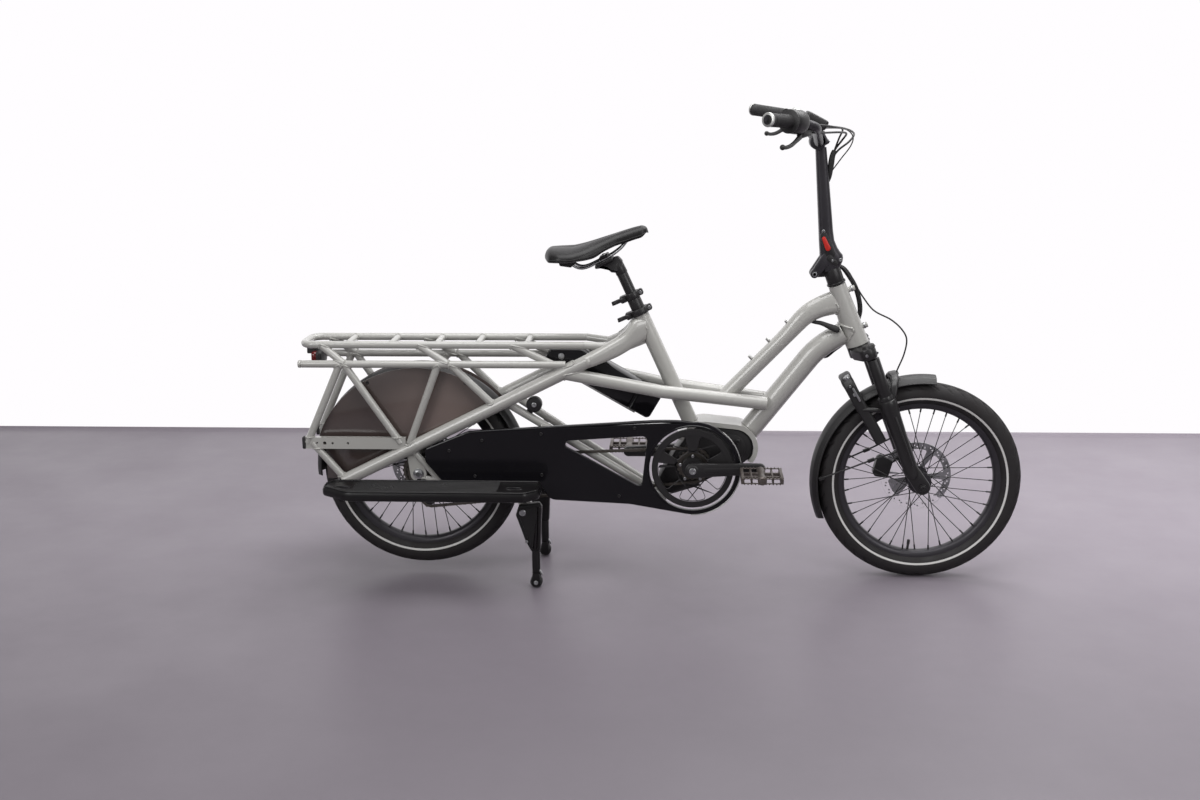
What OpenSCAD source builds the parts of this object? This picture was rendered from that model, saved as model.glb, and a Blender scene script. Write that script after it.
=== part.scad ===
// Long-tail electric cargo bike on 20 inch wheels, parked on its two-legged stand.
// Millimetres: X runs forward, Y to the rider's left, Z up from the floor.
// Places named _x are measured ahead of the rear axle and places named _z above the floor.

/* [Wheels] */
// Outside diameter of the tyres
tyre_d = 520; // [510:1:530]
// Width of the tyres
tyre_w = 59; // [54:1:61]
// Height of the tyre's section above its seat on the rim
tyre_h = 54; // [50:1:58]
// Depth of the rim from the tyre's seat to the bed where the spokes end
rim_depth = 16; // [12:1:24]
// Width of the rims
rim_w = 34; // [28:1:38]
// Distance from the rear axle to the front axle
wheelbase = 1289; // [1270:1:1310]
// Height of the rear tyre above the floor while the stand is down
rear_lift = 24.5; // [15:0.5:32]
// Spokes in each wheel
spoke_count = 36; // [28:4:36]
// Diameter of a spoke
spoke_d = 2.2; // [1.8:0.1:3]
// Diameter of the brake rotors
rotor_d = 180; // [160:10:180]

/* [Head and steering] */
// Slope of the steering axis above the horizontal, degrees
head_angle = 69.6; // [66:0.1:73]
// Place of the head tube's top along the bike
head_top_x = 1065; // [1050:1:1080]
// Height of the head tube's top
head_top_z = 768; // [750:1:790]
// Length of the head tube
head_len = 161; // [150:1:170]
// Diameter of the head tube at its top
head_top_d = 44; // [40:1:50]
// Diameter of the head tube at its foot
head_low_d = 59; // [54:1:64]
// Diameter of the fork's steerer
steerer_d = 28.6; // [25:0.1:30]
// Distance from the steering axis to the front axle
fork_offset = 33; // [25:1:45]
// Half the distance between the fork legs
leg_half = 64; // [60:1:68]
// Diameter of the fork's lower legs
leg_d = 40; // [34:1:42]
// Diameter of the fork's upper tubes
stanchion_d = 30; // [26:1:34]

/* [Handlebar] */
// Height of the folding hinge's pin
hinge_z = 797; // [790:1:805]
// Place of the folding hinge's pin
hinge_x = 1007; // [1000:1:1012]
// Height of the handlebar clamp
clamp_z = 1122; // [1090:1:1160]
// Place of the handlebar clamp
clamp_x = 1007; // [995:1:1020]
// Overall width of the handlebar
bar_w = 660; // [600:5:720]
// Rise of the handlebar's ends over the clamp
bar_rise = 66; // [40:1:90]
// Backward sweep of the handlebar's ends
bar_sweep = 142; // [100:1:160]
// Diameter of the handlebar's tube
bar_d = 22.2; // [20:0.1:26]
// Length of a grip
grip_len = 132; // [100:1:140]

/* [Frame tubes] */
// Diameter of the top tube
top_tube_d = 40; // [34:1:44]
// Diameter of the down tube
down_tube_d = 56; // [48:1:60]
// Diameter of the seat tube
seat_tube_d = 40; // [38:1:44]
// Diameter of the two middle tubes
mid_tube_d = 33; // [28:1:36]
// Diameter of the two long stays
stay_d = 34; // [30:1:38]
// Diameter of the rack's rails
rail_d = 19; // [16:1:22]
// Diameter of the rack's struts
strut_d = 19; // [15:1:22]
// Height of the rack deck's rails, middle of the tube
deck_z = 622; // [610:1:635]
// Half the width of the rack deck, middle of the rails
deck_half = 55; // [50:1:60]
// Height of the lower side rails
side_rail_z = 575; // [565:1:580]
// Half the distance between the side rails and between the trusses
truss_half = 70; // [68:1:74]
// Place of the side rails' rear ends
tail_x = -297; // [-310:1:-285]

/* [Seat] */
// Slope of the seat tube, degrees
seat_angle = 65.6; // [62:0.1:70]
// Height of the seat tube's top
seat_top_z = 692; // [680:1:700]
// Diameter of the seat post
seat_post_d = 28; // [25:0.1:31]
// Height of the saddle's nose
saddle_nose_z = 918; // [905:1:930]
// Length of the saddle
saddle_len = 262; // [240:1:285]
// Width of the saddle
saddle_w = 164; // [130:1:200]

/* [Drive] */
// Place of the crank's axis
crank_x = 707; // [700:1:714]
// Height of the crank's axis
crank_z = 309; // [305:1:313]
// Length of a crank arm
crank_len = 170; // [160:1:175]
// Radius of the five-armed guard ring on the crank
guard_ring_r = 104; // [96:1:106]
// Width of the motor
motor_w = 76; // [70:1:80]
// Length of the battery
battery_len = 308; // [280:1:315]
// Width of the battery
battery_w = 66; // [58:1:68]
// Depth of the battery
battery_t = 73; // [60:1:76]

/* [Stand and footboards] */
// Place of the stand's pivot
stand_x = 276; // [270:1:284]
// Height of the stand's pivot
stand_z = 204; // [200:1:207]
// Half the distance between the stand's feet
stand_half = 120; // [116:1:126]
// Forward reach of the feet from the pivot
foot_reach = 31; // [20:1:40]
// Diameter of the stand's rollers
roller_d = 31; // [26:1:36]
// Length of a footboard
board_len = 540; // [480:1:560]
// Width of a footboard
board_w = 110; // [90:1:125]
// Thickness of a footboard
board_t = 26; // [20:1:30]

/* [Hidden] */
$fn = 48;

// Clearances, and the overrun of every cut
weld_gap = 0.3;
pin_gap = 0.3;
run_gap = 6;
over = 2;

// Colours
frame_grey = "#a9aaa3";
black = "#1d1c1d";
dark = "#2b2a2b";
silver = "#b9babb";
smoke = "#2a2320";
red = "#c43a2c";

// The origin is midway between the tail and the front tyre
front_end_x = wheelbase + tyre_d / 2;
mid_x = (front_end_x + tail_x) / 2;
rear_axle_z = tyre_d / 2 + rear_lift;
front_axle_z = tyre_d / 2;
rear_c = [0, rear_axle_z];
front_c = [wheelbase, front_axle_z];

// Directions of the steering axis, pointing up and pointing forward across it
steer_up = [-cos(head_angle), 0, sin(head_angle)];
steer_ahead = [sin(head_angle), 0, cos(head_angle)];
head_top = [head_top_x, 0, head_top_z];
head_low = head_top - head_len * steer_up;

// Shared shapes
module part(c) color(c) translate([-mid_x, 0, 0]) children();

module both() {
    children();
    mirror([0, 1, 0]) children();
}

module tube(p, q, d, d2 = undef) {
    v = q - p;
    l = norm(v);
    translate(p)
        rotate([0, acos(v.z / l), atan2(v.y, v.x)])
            cylinder(h = l, d1 = d, d2 = is_undef(d2) ? d : d2);
}

module knuckle(p, d) translate(p) sphere(d = d + 2 * weld_gap);

// A cylinder along Y from y0 to y1 at a place in the side view
module across(c, y0, y1, d) translate([c.x, y0, c.y]) rotate([-90, 0, 0]) cylinder(h = y1 - y0, d = d);

// A side view outline given thickness from y0 to y1
module side_plate(y0, y1) translate([0, y1, 0]) rotate([90, 0, 0]) linear_extrude(y1 - y0) children();

// A profile turned about a wheel's axle, from angle a0 to a1 above the forward direction
module turned(c, a0 = 0, a1 = 360)
    translate([c.x, 0, c.y]) rotate([90, 0, 0]) rotate([0, 0, a0]) rotate_extrude(angle = a1 - a0) children();

module at(c, r) translate(c) circle(r);

// Main frame: places in the side view
bend_share = 0.5;
top_low = [791, 0, 481.5];
top_slope = 46;
top_run = 265;
top_bend_r = 130;
top_turn_angle = 34;
top_tail = 44;
down_low = [836, 0, 370];
down_slope = 52.2;
down_run = 262;
down_bend_r = 200;
down_turn_angle = 22;
down_tail = 36;
seat_low = [697, 0, 421];
seat_dir = [-cos(seat_angle), 0, sin(seat_angle)];
seat_top = seat_low + seat_dir * (seat_top_z - seat_low.z) / sin(seat_angle);
shell_gap = 12;
shell_wall = 4;
motor_crank_r = 58;
motor_rear_c = [735, 362];
motor_rear_r = 48;
motor_front_c = [812, 352];
motor_front_r = 50;
motor_low_c = [655, 262];
motor_low_r = 36;
crank_c = [crank_x, crank_z];
boss_d = 14;
boss_len = 10;
boss_hole_d = 5;
boss_places = [22, 122];

// A tube that climbs at a slope, bends towards the level and runs on to its end
module bent_tube(low, slope, run, r, turn, tail, d) {
    start = low + run * [cos(slope), 0, sin(slope)];
    centre = start + r * [sin(slope), 0, -cos(slope)];
    end = centre + r * [-sin(slope - turn), 0, cos(slope - turn)];
    tube(low, start, d);
    knuckle(start, d);
    knuckle(end, d);
    translate(centre) rotate([90, 0, 0]) rotate([0, 0, 90 + slope - turn])
        rotate_extrude(angle = turn) translate([r, 0]) circle(d = d);
    tube(end, end + tail * [cos(slope - turn), 0, sin(slope - turn)], d);
}

module motor_outline(grow) hull() {
    at(crank_c, motor_crank_r + grow);
    at(motor_rear_c, motor_rear_r + grow);
    at(motor_front_c, motor_front_r + grow);
}

module head_axis(d, extra = 0)
    tube(head_low - extra * steer_up, head_top + extra * steer_up, d);

// Head tube with its two bosses for a front rack
module head_tube() part(frame_grey) difference() {
    union() {
        tube(head_low, head_top, head_low_d, head_top_d);
        for (s = boss_places)
            tube(head_top - s * steer_up, head_top - s * steer_up
                 + (head_low_d / 2 + boss_len) * steer_ahead, boss_d);
    }
    head_axis(steerer_d + 2 * pin_gap, over);
    for (s = boss_places)
        tube(head_top - s * steer_up + steerer_d * steer_ahead, head_top - s * steer_up
             + (head_low_d / 2 + boss_len + over) * steer_ahead, boss_hole_d);
}

module head_cut()
    tube(head_low - over * steer_up, head_top + over * steer_up, head_low_d + 2 * weld_gap,
         head_top_d + 2 * weld_gap);

// Top tube, held between the two middle tubes
module top_tube() part(frame_grey) difference() {
    bent_tube(top_low, top_slope, top_run, top_bend_r, top_turn_angle, top_tail, top_tube_d);
    head_cut();
}

// Down tube, from the motor's shell to the head tube
module down_tube() part(frame_grey) difference() {
    bent_tube(down_low, down_slope, down_run, down_bend_r, down_turn_angle, down_tail, down_tube_d);
    head_cut();
    across(motor_front_c, -motor_w, motor_w, 2 * (motor_front_r + shell_gap + weld_gap));
}

// Seat tube, bored for the seat post
module seat_tube() part(frame_grey) difference() {
    tube(seat_low - seat_dir * seat_tube_d, seat_top, seat_tube_d);
    tube(seat_low + seat_dir * seat_tube_d, seat_top + over * seat_dir, seat_post_d + 2 * pin_gap);
    across(motor_rear_c, -motor_w, motor_w, 2 * (motor_rear_r + shell_gap + weld_gap));
}

// Shell that carries the motor
module motor_shell() part(frame_grey)
    side_plate(-motor_w / 2 - shell_wall, motor_w / 2 + shell_wall) difference() {
        intersection() {
            motor_outline(shell_gap);
            polygon([[crank_x - motor_crank_r - shell_gap, motor_rear_c.y + motor_rear_r / 2],
                     [motor_front_c.x + motor_front_r + shell_gap, crank_z],
                     [motor_front_c.x + motor_front_r + shell_gap, motor_rear_c.y + 2 * motor_rear_r],
                     [crank_x - motor_crank_r - shell_gap, motor_rear_c.y + 2 * motor_rear_r]]);
        }
        motor_outline(weld_gap);
    }

// Middle tubes, from the down tube back to the long stays
mid_front = [893, -30, 468];
mid_bend = [626, -52, 503];
stay_half = 66;
mid_rear = [385, -stay_half, 552];
stay_knee = [440, -stay_half, 583];
stay_low = [-195, -stay_half, 265];
stay_top = [562, -14, 644];

module mid_tube(grow = 0) {
    tube(mid_front, mid_bend, mid_tube_d + grow);
    tube(mid_bend, mid_rear, mid_tube_d + grow);
    translate(mid_bend) sphere(d = mid_tube_d + grow + 2 * weld_gap);
}

module mid_tubes() part(frame_grey) both() difference() {
    mid_tube();
    bent_tube(down_low, down_slope, down_run, down_bend_r, down_turn_angle, down_tail,
              down_tube_d + 2 * weld_gap);
    long_stay(2 * weld_gap);
}

// Pads on the middle tubes that carry the battery
pad_d = 12;
pad_shares = [0.5, 0.8];

module battery_pads() part(dark) both() for (t = pad_shares) difference() {
    c = mid_bend + t * (mid_rear - mid_bend);
    tube([c.x, c.y, c.z], [c.x, -battery_w / 2 - weld_gap, c.z], pad_d);
    mid_tube(2 * weld_gap);
}

// Long stays, from the seat tube back and down to the tail
module long_stay(grow = 0) {
    tube(stay_knee, stay_low, stay_d + grow);
    knuckle(stay_knee, stay_d + grow);
}

module upper_stay(grow = 0) tube(stay_top, stay_knee, stay_d + grow);

// Welded web that widens each upper stay at the seat tube, above and below
web_t = 9;
web_rise = seat_top_z - stay_knee.z;
web_run = norm([stay_top.x - stay_knee.x, stay_top.y - stay_knee.y]);
web_turn = atan2(stay_top.y - stay_knee.y, stay_top.x - stay_knee.x);
web_shares = [[0.16, -0.05], [1.25, 0.35], [1.1, 0.93], [0.9, 0.85], [0.85, 0.76], [0.76, 0.65],
              [0.62, 0.52]];

module stay_web() difference() {
    translate(stay_knee) rotate([0, 0, web_turn]) rotate([90, 0, 0]) translate([0, 0, -web_t / 2])
        linear_extrude(web_t) polygon([for (p = web_shares) [p.x * web_run, p.y * web_rise]]);
    upper_stay(2 * weld_gap);
    long_stay(2 * weld_gap);
    tube(seat_low, seat_top + seat_dir * seat_tube_d, seat_tube_d + 2 * weld_gap);
    translate([-seat_tube_d, -weld_gap, 0]) cube([2 * front_end_x, seat_tube_d, 2 * seat_top_z]);
}

module long_stays() part(frame_grey) both() {
    long_stay();
    stay_web();
    difference() {
        upper_stay();
        knuckle(stay_knee, stay_d + 2 * weld_gap);
        tube(stay_knee, stay_low, stay_d + 2 * weld_gap);
        tube(seat_low, seat_top + seat_dir * seat_tube_d, seat_tube_d + 2 * weld_gap);
        translate([-seat_tube_d, -weld_gap, 0])
            cube([2 * front_end_x, seat_tube_d, 2 * seat_top_z]);
    }
}

// Rear truss: lower bar with its holes, struts and dropout plate
bar_h = 30;
bar_t = 14;
bar_z = 368;
bar_front_x = -28;
plug_len = 9;
bar_hole_d = 6;
bar_hole_pitch = 40;
bar_hole_first = 39;
bar_peg_d = 9;
bar_peg_at = 58.5;
rear_strut = [-284, -190];
back_diag = [-42, -180];
mid_diag = [-18, 62];
fore_diag = [200, 93];
fore_diag_z = 470;
corner_top_x = -272;
drop_t = 8;
drop_y = -66;
drop_r = 21;
drop_top = [-14, 346];
drop_top_r = 15;
drop_strut = [[-12, 347], [58, 262]];
drop_strut_d = 16;
drop_strut_y = -63.5;
axle_d = 12;

module side_rail(grow = 0)
    tube([tail_x, -truss_half, side_rail_z], [strut_foot.x, -truss_half, side_rail_z], rail_d + grow);

module lower_bar(grow = 0)
    translate([tail_x, -truss_half - bar_t / 2 - grow, bar_z - bar_h / 2 - grow])
        cube([bar_front_x - tail_x, bar_t + 2 * grow, bar_h + 2 * grow]);

module bar_plug(grow = 0)
    translate([tail_x - 2 * grow, -truss_half - bar_t / 2 - 2 * grow, bar_z - bar_h / 2 - 2 * grow])
        cube([plug_len + 3 * grow, bar_t + 4 * grow, bar_h + 4 * grow]);

module rail_plug(grow = 0)
    tube([tail_x - 2 * grow, -truss_half, side_rail_z], [tail_x + plug_len + grow, -truss_half, side_rail_z],
         rail_d + 4 * grow);

module tube_plugs() part(black) both() {
    bar_plug();
    rail_plug();
}

module strut_line(feet, low_z, grow = 0)
    tube([feet[0], -truss_half, low_z], [feet[1], -truss_half, side_rail_z], strut_d + grow);

module truss_strut(feet, low_z) difference() {
    strut_line(feet, low_z);
    lower_bar(weld_gap);
    side_rail(2 * weld_gap);
    long_stay(2 * weld_gap);
}

module drop_outline(grow = 0) hull() {
    at(rear_c, drop_r + grow);
    at(drop_top, drop_top_r + grow);
}

module truss(strut_y) {
    difference() {
        lower_bar();
        bar_plug(weld_gap);
        for (k = [0 : 2])
            across([tail_x + bar_hole_first + k * bar_hole_pitch, bar_z], -truss_half - bar_t,
                   -truss_half + bar_t, bar_hole_d);
        across([tail_x + bar_peg_at, bar_z], -truss_half - bar_t, -truss_half + bar_t, bar_peg_d);
        long_stay(2 * weld_gap);
    }
    truss_strut(rear_strut, bar_z);
    difference() {
        truss_strut(back_diag, bar_z);
        strut_line(rear_strut, bar_z, 2 * weld_gap);
        strut_line(mid_diag, bar_z, 2 * weld_gap);
    }
    truss_strut(mid_diag, bar_z);
    truss_strut(fore_diag, fore_diag_z);
    // Corner strut under the bar, down to the stay's end
    difference() {
        tube([corner_top_x, -truss_half, bar_z], stay_low + [0, 0, stay_d / 4], strut_d);
        lower_bar(weld_gap);
        long_stay(2 * weld_gap);
    }
    // Dropout plate, and the strut from it down to the stand's truss
    difference() {
        side_plate(drop_y, drop_y + drop_t) difference() {
            drop_outline();
            at(rear_c, axle_d / 2 + pin_gap);
        }
        long_stay(2 * weld_gap);
    }
    difference() {
        tube([drop_strut[0].x, strut_y, drop_strut[0].y], [drop_strut[1].x, strut_y, drop_strut[1].y],
             drop_strut_d);
        side_plate(drop_y - weld_gap, drop_y + drop_t + weld_gap) drop_outline(weld_gap);
        long_stay(2 * weld_gap);
        mount_rail(2 * weld_gap);
    }
}

// The strut passes inside the chain guard on the right, and outside the brake on the left
module truss_right() part(frame_grey) truss(drop_strut_y);
module truss_left() part(frame_grey) mirror([0, 1, 0]) truss(-truss_half);

// Side rails, and the slanted struts that hang them from the deck
strut_tops = [-240, 10];
strut_lows = [-178, 88];
strut_head = [248, -55, 622];
strut_foot = [386, -stay_half, 559];

module front_strut(grow = 0) tube(strut_head, strut_foot, strut_d + grow);

module side_rails() part(frame_grey) both() {
    difference() {
        side_rail();
        rail_plug(weld_gap);
        front_strut(2 * weld_gap);
        long_stay(2 * weld_gap);
    }
    for (k = [0 : len(strut_tops) - 1])
        difference() {
            tube([strut_tops[k], -deck_half, deck_z], [strut_lows[k], -truss_half, side_rail_z], strut_d);
            deck_rail(2 * weld_gap);
            side_rail(2 * weld_gap);
        }
    difference() {
        front_strut();
        deck_rail(2 * weld_gap);
        long_stay(2 * weld_gap);
        mid_tube(2 * weld_gap);
    }
}

// Rack deck: two rails, a rounded tail and five cross bars
deck_tail_r = 30;
deck_front = [432, -55, 622];
deck_end = [508, -34, 616];
cross_d = 16;
cross_places = [-173, -61, 56, 161, 286];
deck_rear_x = tail_x + rail_d / 2 + deck_tail_r;

module deck_run(grow = 0)
    tube([deck_rear_x, -deck_half, deck_z], [deck_front.x + grow / 2, -deck_half, deck_z], rail_d + grow);

module deck_nose(grow = 0) {
    tube([deck_front.x, -deck_half, deck_z], deck_end, rail_d + grow);
    knuckle([deck_front.x, -deck_half, deck_z], rail_d + grow);
}

module deck_rail(grow = 0) {
    deck_run(grow);
    deck_nose(grow);
}

module rack_deck() part(frame_grey) {
    both() {
        difference() {
            deck_run();
            upper_stay(2 * weld_gap);
            long_stay(2 * weld_gap);
        }
        difference() {
            deck_nose();
            deck_run(3 * weld_gap);
            upper_stay(2 * weld_gap);
            long_stay(2 * weld_gap);
        }
    }
    // Rounded tail
    translate([-weld_gap, 0, 0]) {
        both() translate([deck_rear_x, deck_tail_r - deck_half, deck_z]) rotate([0, 0, 180])
            rotate_extrude(angle = 90) translate([deck_tail_r, 0]) circle(d = rail_d);
        tube([deck_rear_x - deck_tail_r, deck_tail_r - deck_half, deck_z],
             [deck_rear_x - deck_tail_r, deck_half - deck_tail_r, deck_z], rail_d);
    }
    for (x = cross_places)
        difference() {
            tube([x, -deck_half, deck_z], [x, deck_half, deck_z], cross_d);
            both() deck_rail(2 * weld_gap);
        }
}

// Lower stays and the truss that carries the stand's axle
low_stay_d = 21;
low_stay_top = [228, -52, 474];
low_stay_end = [640, -14, 210];
mount_d = 14;
mount_y = -62;
mount_rear = [6, 274];
mount_front = [262, 231];
mount_top = [325, 404];
lug_t = 15.6;
lug_r = 17;
stand_c = [stand_x, stand_z];
stand_axle_d = 14;

module mount_rail(grow = 0)
    tube([mount_rear.x, mount_y, mount_rear.y], [mount_front.x, mount_y, mount_front.y], mount_d + grow);

module lug(grow = 0) side_plate(mount_y - lug_t / 2, mount_y + lug_t / 2) hull() {
    at(stand_c, lug_r + grow);
    at(mount_front, mount_d / 2 + grow);
}

module lower_stays() part(frame_grey) both() {
    difference() {
        tube(low_stay_top, low_stay_end, low_stay_d);
        long_stay(2 * weld_gap);
        across(motor_low_c, -motor_w, motor_w, 2 * (motor_low_r + weld_gap));
    }
    difference() {
        mount_rail();
        side_plate(drop_y - over, drop_y + drop_t + over) at(rear_c, drop_r + weld_gap);
        lug(weld_gap);
    }
    difference() {
        lug();
        across(stand_c, -stand_half, stand_half, stand_axle_d + 2 * pin_gap);
    }
    difference() {
        union() {
            tube([mount_front.x, mount_y, mount_front.y], [mount_top.x, mount_y, mount_top.y], mount_d);
            across(mount_top, mount_y - mount_d / 2 - over, low_stay_top.y + run_gap, mount_d + 2 * over);
        }
        lug(weld_gap);
        mount_rail(2 * weld_gap);
        tube(low_stay_top, low_stay_end, low_stay_d + 2 * weld_gap);
    }
}

axle_half = 74;
module rear_axle() part(silver) across(rear_c, -axle_half, axle_half, axle_d);

// Motor: one closed housing
module motor() part(black) difference() {
    union() {
        side_plate(-motor_w / 2, motor_w / 2) motor_outline(0);
        difference() {
            across(motor_low_c, -motor_w / 2, motor_w / 2, 2 * motor_low_r);
            across(crank_c, -motor_w, motor_w, 2 * motor_crank_r - over);
        }
    }
    across(crank_c, -motor_w, motor_w, spindle_d + 2 * pin_gap);
}

// Battery, lying between the long stays behind the seat tube
battery_c = [478, 533];
battery_slope = 30;
battery_lid_gap = 6;
module battery() part(black) difference() {
    translate([battery_c.x, 0, battery_c.y]) rotate([0, battery_slope, 0])
        cube([battery_len, battery_w, battery_t], center = true);
    // Level top under the deck
    translate([battery_c.x - battery_len, -battery_w, deck_z - rail_d / 2 - battery_lid_gap])
        cube([2 * battery_len, 2 * battery_w, battery_len]);
}

// Chain guard: a panel with a window, around the guard ring
guard_y = -84;
guard_t = 12;
guard_rim = 6;
guard_rear_x = 60;
guard_low_z = 263;
guard_rear_top = [60, 364];
guard_rise = [135, 403];
guard_post_d = 12;
guard_front_post_angle = 22;
guard_rear_post = [340, 402];
guard_corner = [712, 435];
guard_mid_top = [358, 418];
guard_knee = [318, 263];
guard_foot = [342, 223];
guard_mid_low = [549, 213];
guard_window = [[369, 373], [585, 387], [573, 268]];
window_r = 8;

module chain_guard() part(black) {
    side_plate(guard_y, guard_y + guard_t) difference() {
        union() {
            polygon([[guard_rear_x, guard_low_z], guard_rear_top, guard_rise, guard_mid_top,
                     guard_corner, [crank_x, crank_z], [crank_x, crank_z - guard_ring_r - 2 * run_gap],
                     guard_mid_low, guard_foot, guard_knee]);
            at(crank_c, guard_ring_r + run_gap + guard_t);
        }
        at(crank_c, guard_ring_r + run_gap);
        hull() for (p = guard_window) at(p, window_r);
    }
    // Posts that hold it off the motor and the lower stay
    post_r = guard_ring_r + run_gap + guard_t / 2;
    across(crank_c + post_r * [cos(guard_front_post_angle), sin(guard_front_post_angle)],
           guard_y + guard_t + weld_gap, -motor_w / 2 - weld_gap, guard_post_d - over);
    difference() {
        across(guard_rear_post, guard_y + guard_t + weld_gap, low_stay_top.y, guard_post_d);
        tube(low_stay_top, low_stay_end, low_stay_d + 2 * weld_gap);
    }
}

// Chain: one fixed loop round the sprocket, the rear cogs and the tension wheel
sprocket_r = 41;
cog_r = 34;
jockey_c = [26, 214];
jockey_r = 18;
chain_y = -53;
chain_w = 8;
chain_h = 9;

module chain_loop(grow) hull() {
    at(crank_c, sprocket_r + grow);
    at(rear_c, cog_r + grow);
    at(jockey_c, jockey_r + grow);
}

module chain() part(silver) side_plate(chain_y, chain_y + chain_w) difference() {
    chain_loop(chain_h);
    chain_loop(2 * pin_gap);
}

// Footboards and the brackets under them
board_rear_x = -213;
board_in_y = -120;
board_top_z = 285;
board_round = 30;
board_edge_r = 14;
board_tip_r = 18;
board_taper = 66;
bracket_d = 17;
bracket_places = [-178, 228];

module footboard() translate([board_rear_x, 0, board_top_z - board_t])
    linear_extrude(board_t) hull() {
        outer = board_in_y - board_w + board_round;
        translate([board_tip_r, board_in_y - board_w / 2]) circle(board_tip_r);
        translate([board_taper / 3, board_in_y - board_edge_r]) circle(board_edge_r);
        translate([board_len - board_edge_r, board_in_y - board_edge_r]) circle(board_edge_r);
        translate([board_len - board_round, outer]) circle(board_round);
        translate([board_taper, outer]) circle(board_round);
    }

module footboard_right() part(black) footboard();
module footboard_left() part(black) mirror([0, 1, 0]) footboard();

module footboard_brackets() part(dark) both() for (x = bracket_places)
    difference() {
        across([x, board_top_z - board_t - weld_gap - bracket_d / 2], board_in_y - board_w / 2,
               mount_y, bracket_d);
        long_stay(2 * weld_gap);
        mount_rail(2 * weld_gap);
    }

// Mudguards: a crowned strip turned round the wheel
mud_crown = 44;
mud_wall = 3;
mud_sink = 24;
mud_lip_out = 2;
mud_r = tyre_d / 2 - mud_sink;
mud_lip_r = tyre_d / 2 + mud_lip_out;
mud_post_in = 28;
rear_mud_start_angle = 20;
rear_mud_end_angle = 184;
front_mud_start_angle = 83;
front_mud_end_angle = 202;

module mud_profile() difference() {
    translate([mud_r, 0]) circle(mud_crown);
    translate([mud_r, 0]) circle(mud_crown - mud_wall);
    translate([0, -mud_crown - over]) square([mud_lip_r, 2 * mud_crown + 2 * over]);
}

mud_post_out = 9;
mud_post_r = tyre_d / 2 + mud_post_out;
mud_post_d = 8;
mud_post_angles = [62, 118, 166];

module rear_mudguard() part(black) {
    turned(rear_c, rear_mud_start_angle, rear_mud_end_angle) mud_profile();
    both() for (a = mud_post_angles)
        across(rear_c + mud_post_r * [cos(a), sin(a)], panel_y + panel_t + weld_gap, -mud_post_in, mud_post_d);
}

// Smoked panels between the rear wheel and the trusses
panel_out = 16;
panel_r = tyre_d / 2 + panel_out;
panel_t = 2.4;
panel_y = -48.6;
module wheel_guards() part(smoke) both() side_plate(panel_y, panel_y + panel_t) intersection() {
    at(rear_c, panel_r);
    polygon([[stay_low.x - stay_d, stay_low.z], [stay_low.x, stay_low.z], [stay_knee.x, stay_knee.z],
             [stay_knee.x, stay_knee.z + panel_r], [stay_low.x - panel_r, stay_knee.z + panel_r],
             [stay_low.x - panel_r, stay_low.z]]);
}

// Tail light, hung from the rack's tail
light_w = 62;
light_h = 34;
light_l = 28;
light_x = -275;
light_low_z = 564;
hanger_w = 20;
tail_tube_x = tail_x + rail_d / 2 - weld_gap;
module tail_light() part(red) difference() {
    union() {
        translate([light_x, -light_w / 2, light_low_z]) cube([light_l, light_w, light_h]);
        translate([tail_tube_x - rail_d / 2, -hanger_w / 2, light_low_z + light_h / 2])
            cube([rail_d + 3 * over, hanger_w, deck_z - light_low_z - light_h / 2]);
    }
    tube([tail_tube_x, -deck_half, deck_z], [tail_tube_x, deck_half, deck_z], rail_d + 2 * weld_gap);
    translate([tail_x - rail_d, -deck_half, deck_z]) cube([2 * rail_d, 2 * deck_half, rail_d]);
}

// Seat post in two stages, with its collars
post_top_z = 838;
collar_d = 50;
collar_h = 17;
stage_h = 41;
stage_z = seat_top_z + stage_h;
stage_d = 35;
head_d = 27;
head_half = 29;
lean = seat_dir / sin(seat_angle);
module seat_head(grow = 0)
    across([seat_top.x + (post_top_z - seat_top_z) * lean.x, post_top_z + head_d / 3],
           -head_half - grow / 2, head_half + grow / 2, head_d + grow);

module seat_post() part(black) {
    tube(seat_top - 3 * seat_tube_d * seat_dir, seat_top + (post_top_z - seat_top_z) * lean, seat_post_d);
    tube(seat_top + weld_gap * seat_dir, seat_top + collar_h * seat_dir, collar_d);
    tube(seat_top + weld_gap * seat_dir, seat_top + (stage_z - seat_top_z) * lean, stage_d);
    tube(seat_top + (stage_z - seat_top_z) * lean, seat_top + (stage_z - seat_top_z) * lean
         + collar_h * seat_dir, collar_d - collar_h / 2);
    // Clamp head round the saddle's rails
    difference() {
        seat_head();
        both() rail_room();
    }
}

// Saddle: a broad tail tapering to a nose
saddle_nose_x = 594;
saddle_tail_z = 842;
saddle_t = 36;
nose_r = 20;
waist_x = 468;
waist_w = 76;
waist_top_z = 880;
rail_wire = 7;
rail_points = [[398, -25, 842], [430, -22, 813], [540, -20, 872], [554, -14, 886]];
rail_run = (rail_points[2] - rail_points[1]) / norm(rail_points[2] - rail_points[1]);

module rail_middle(grow) tube(rail_points[1] - rail_wire * rail_run, rail_points[2] + rail_wire * rail_run,
                              rail_wire + grow);

module rail_end(k, grow = 0) tube(rail_points[k], rail_points[k + 1], rail_wire + grow);

module rail_room() {
    rail_middle(2 * weld_gap);
    rail_end(0, 2 * weld_gap);
    rail_end(2, 2 * weld_gap);
}

module saddle_rails() part(silver) both() {
    rail_middle(0);
    for (k = [0, 2])
        difference() {
            rail_end(k);
            rail_middle(2 * weld_gap);
        }
}

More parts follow.
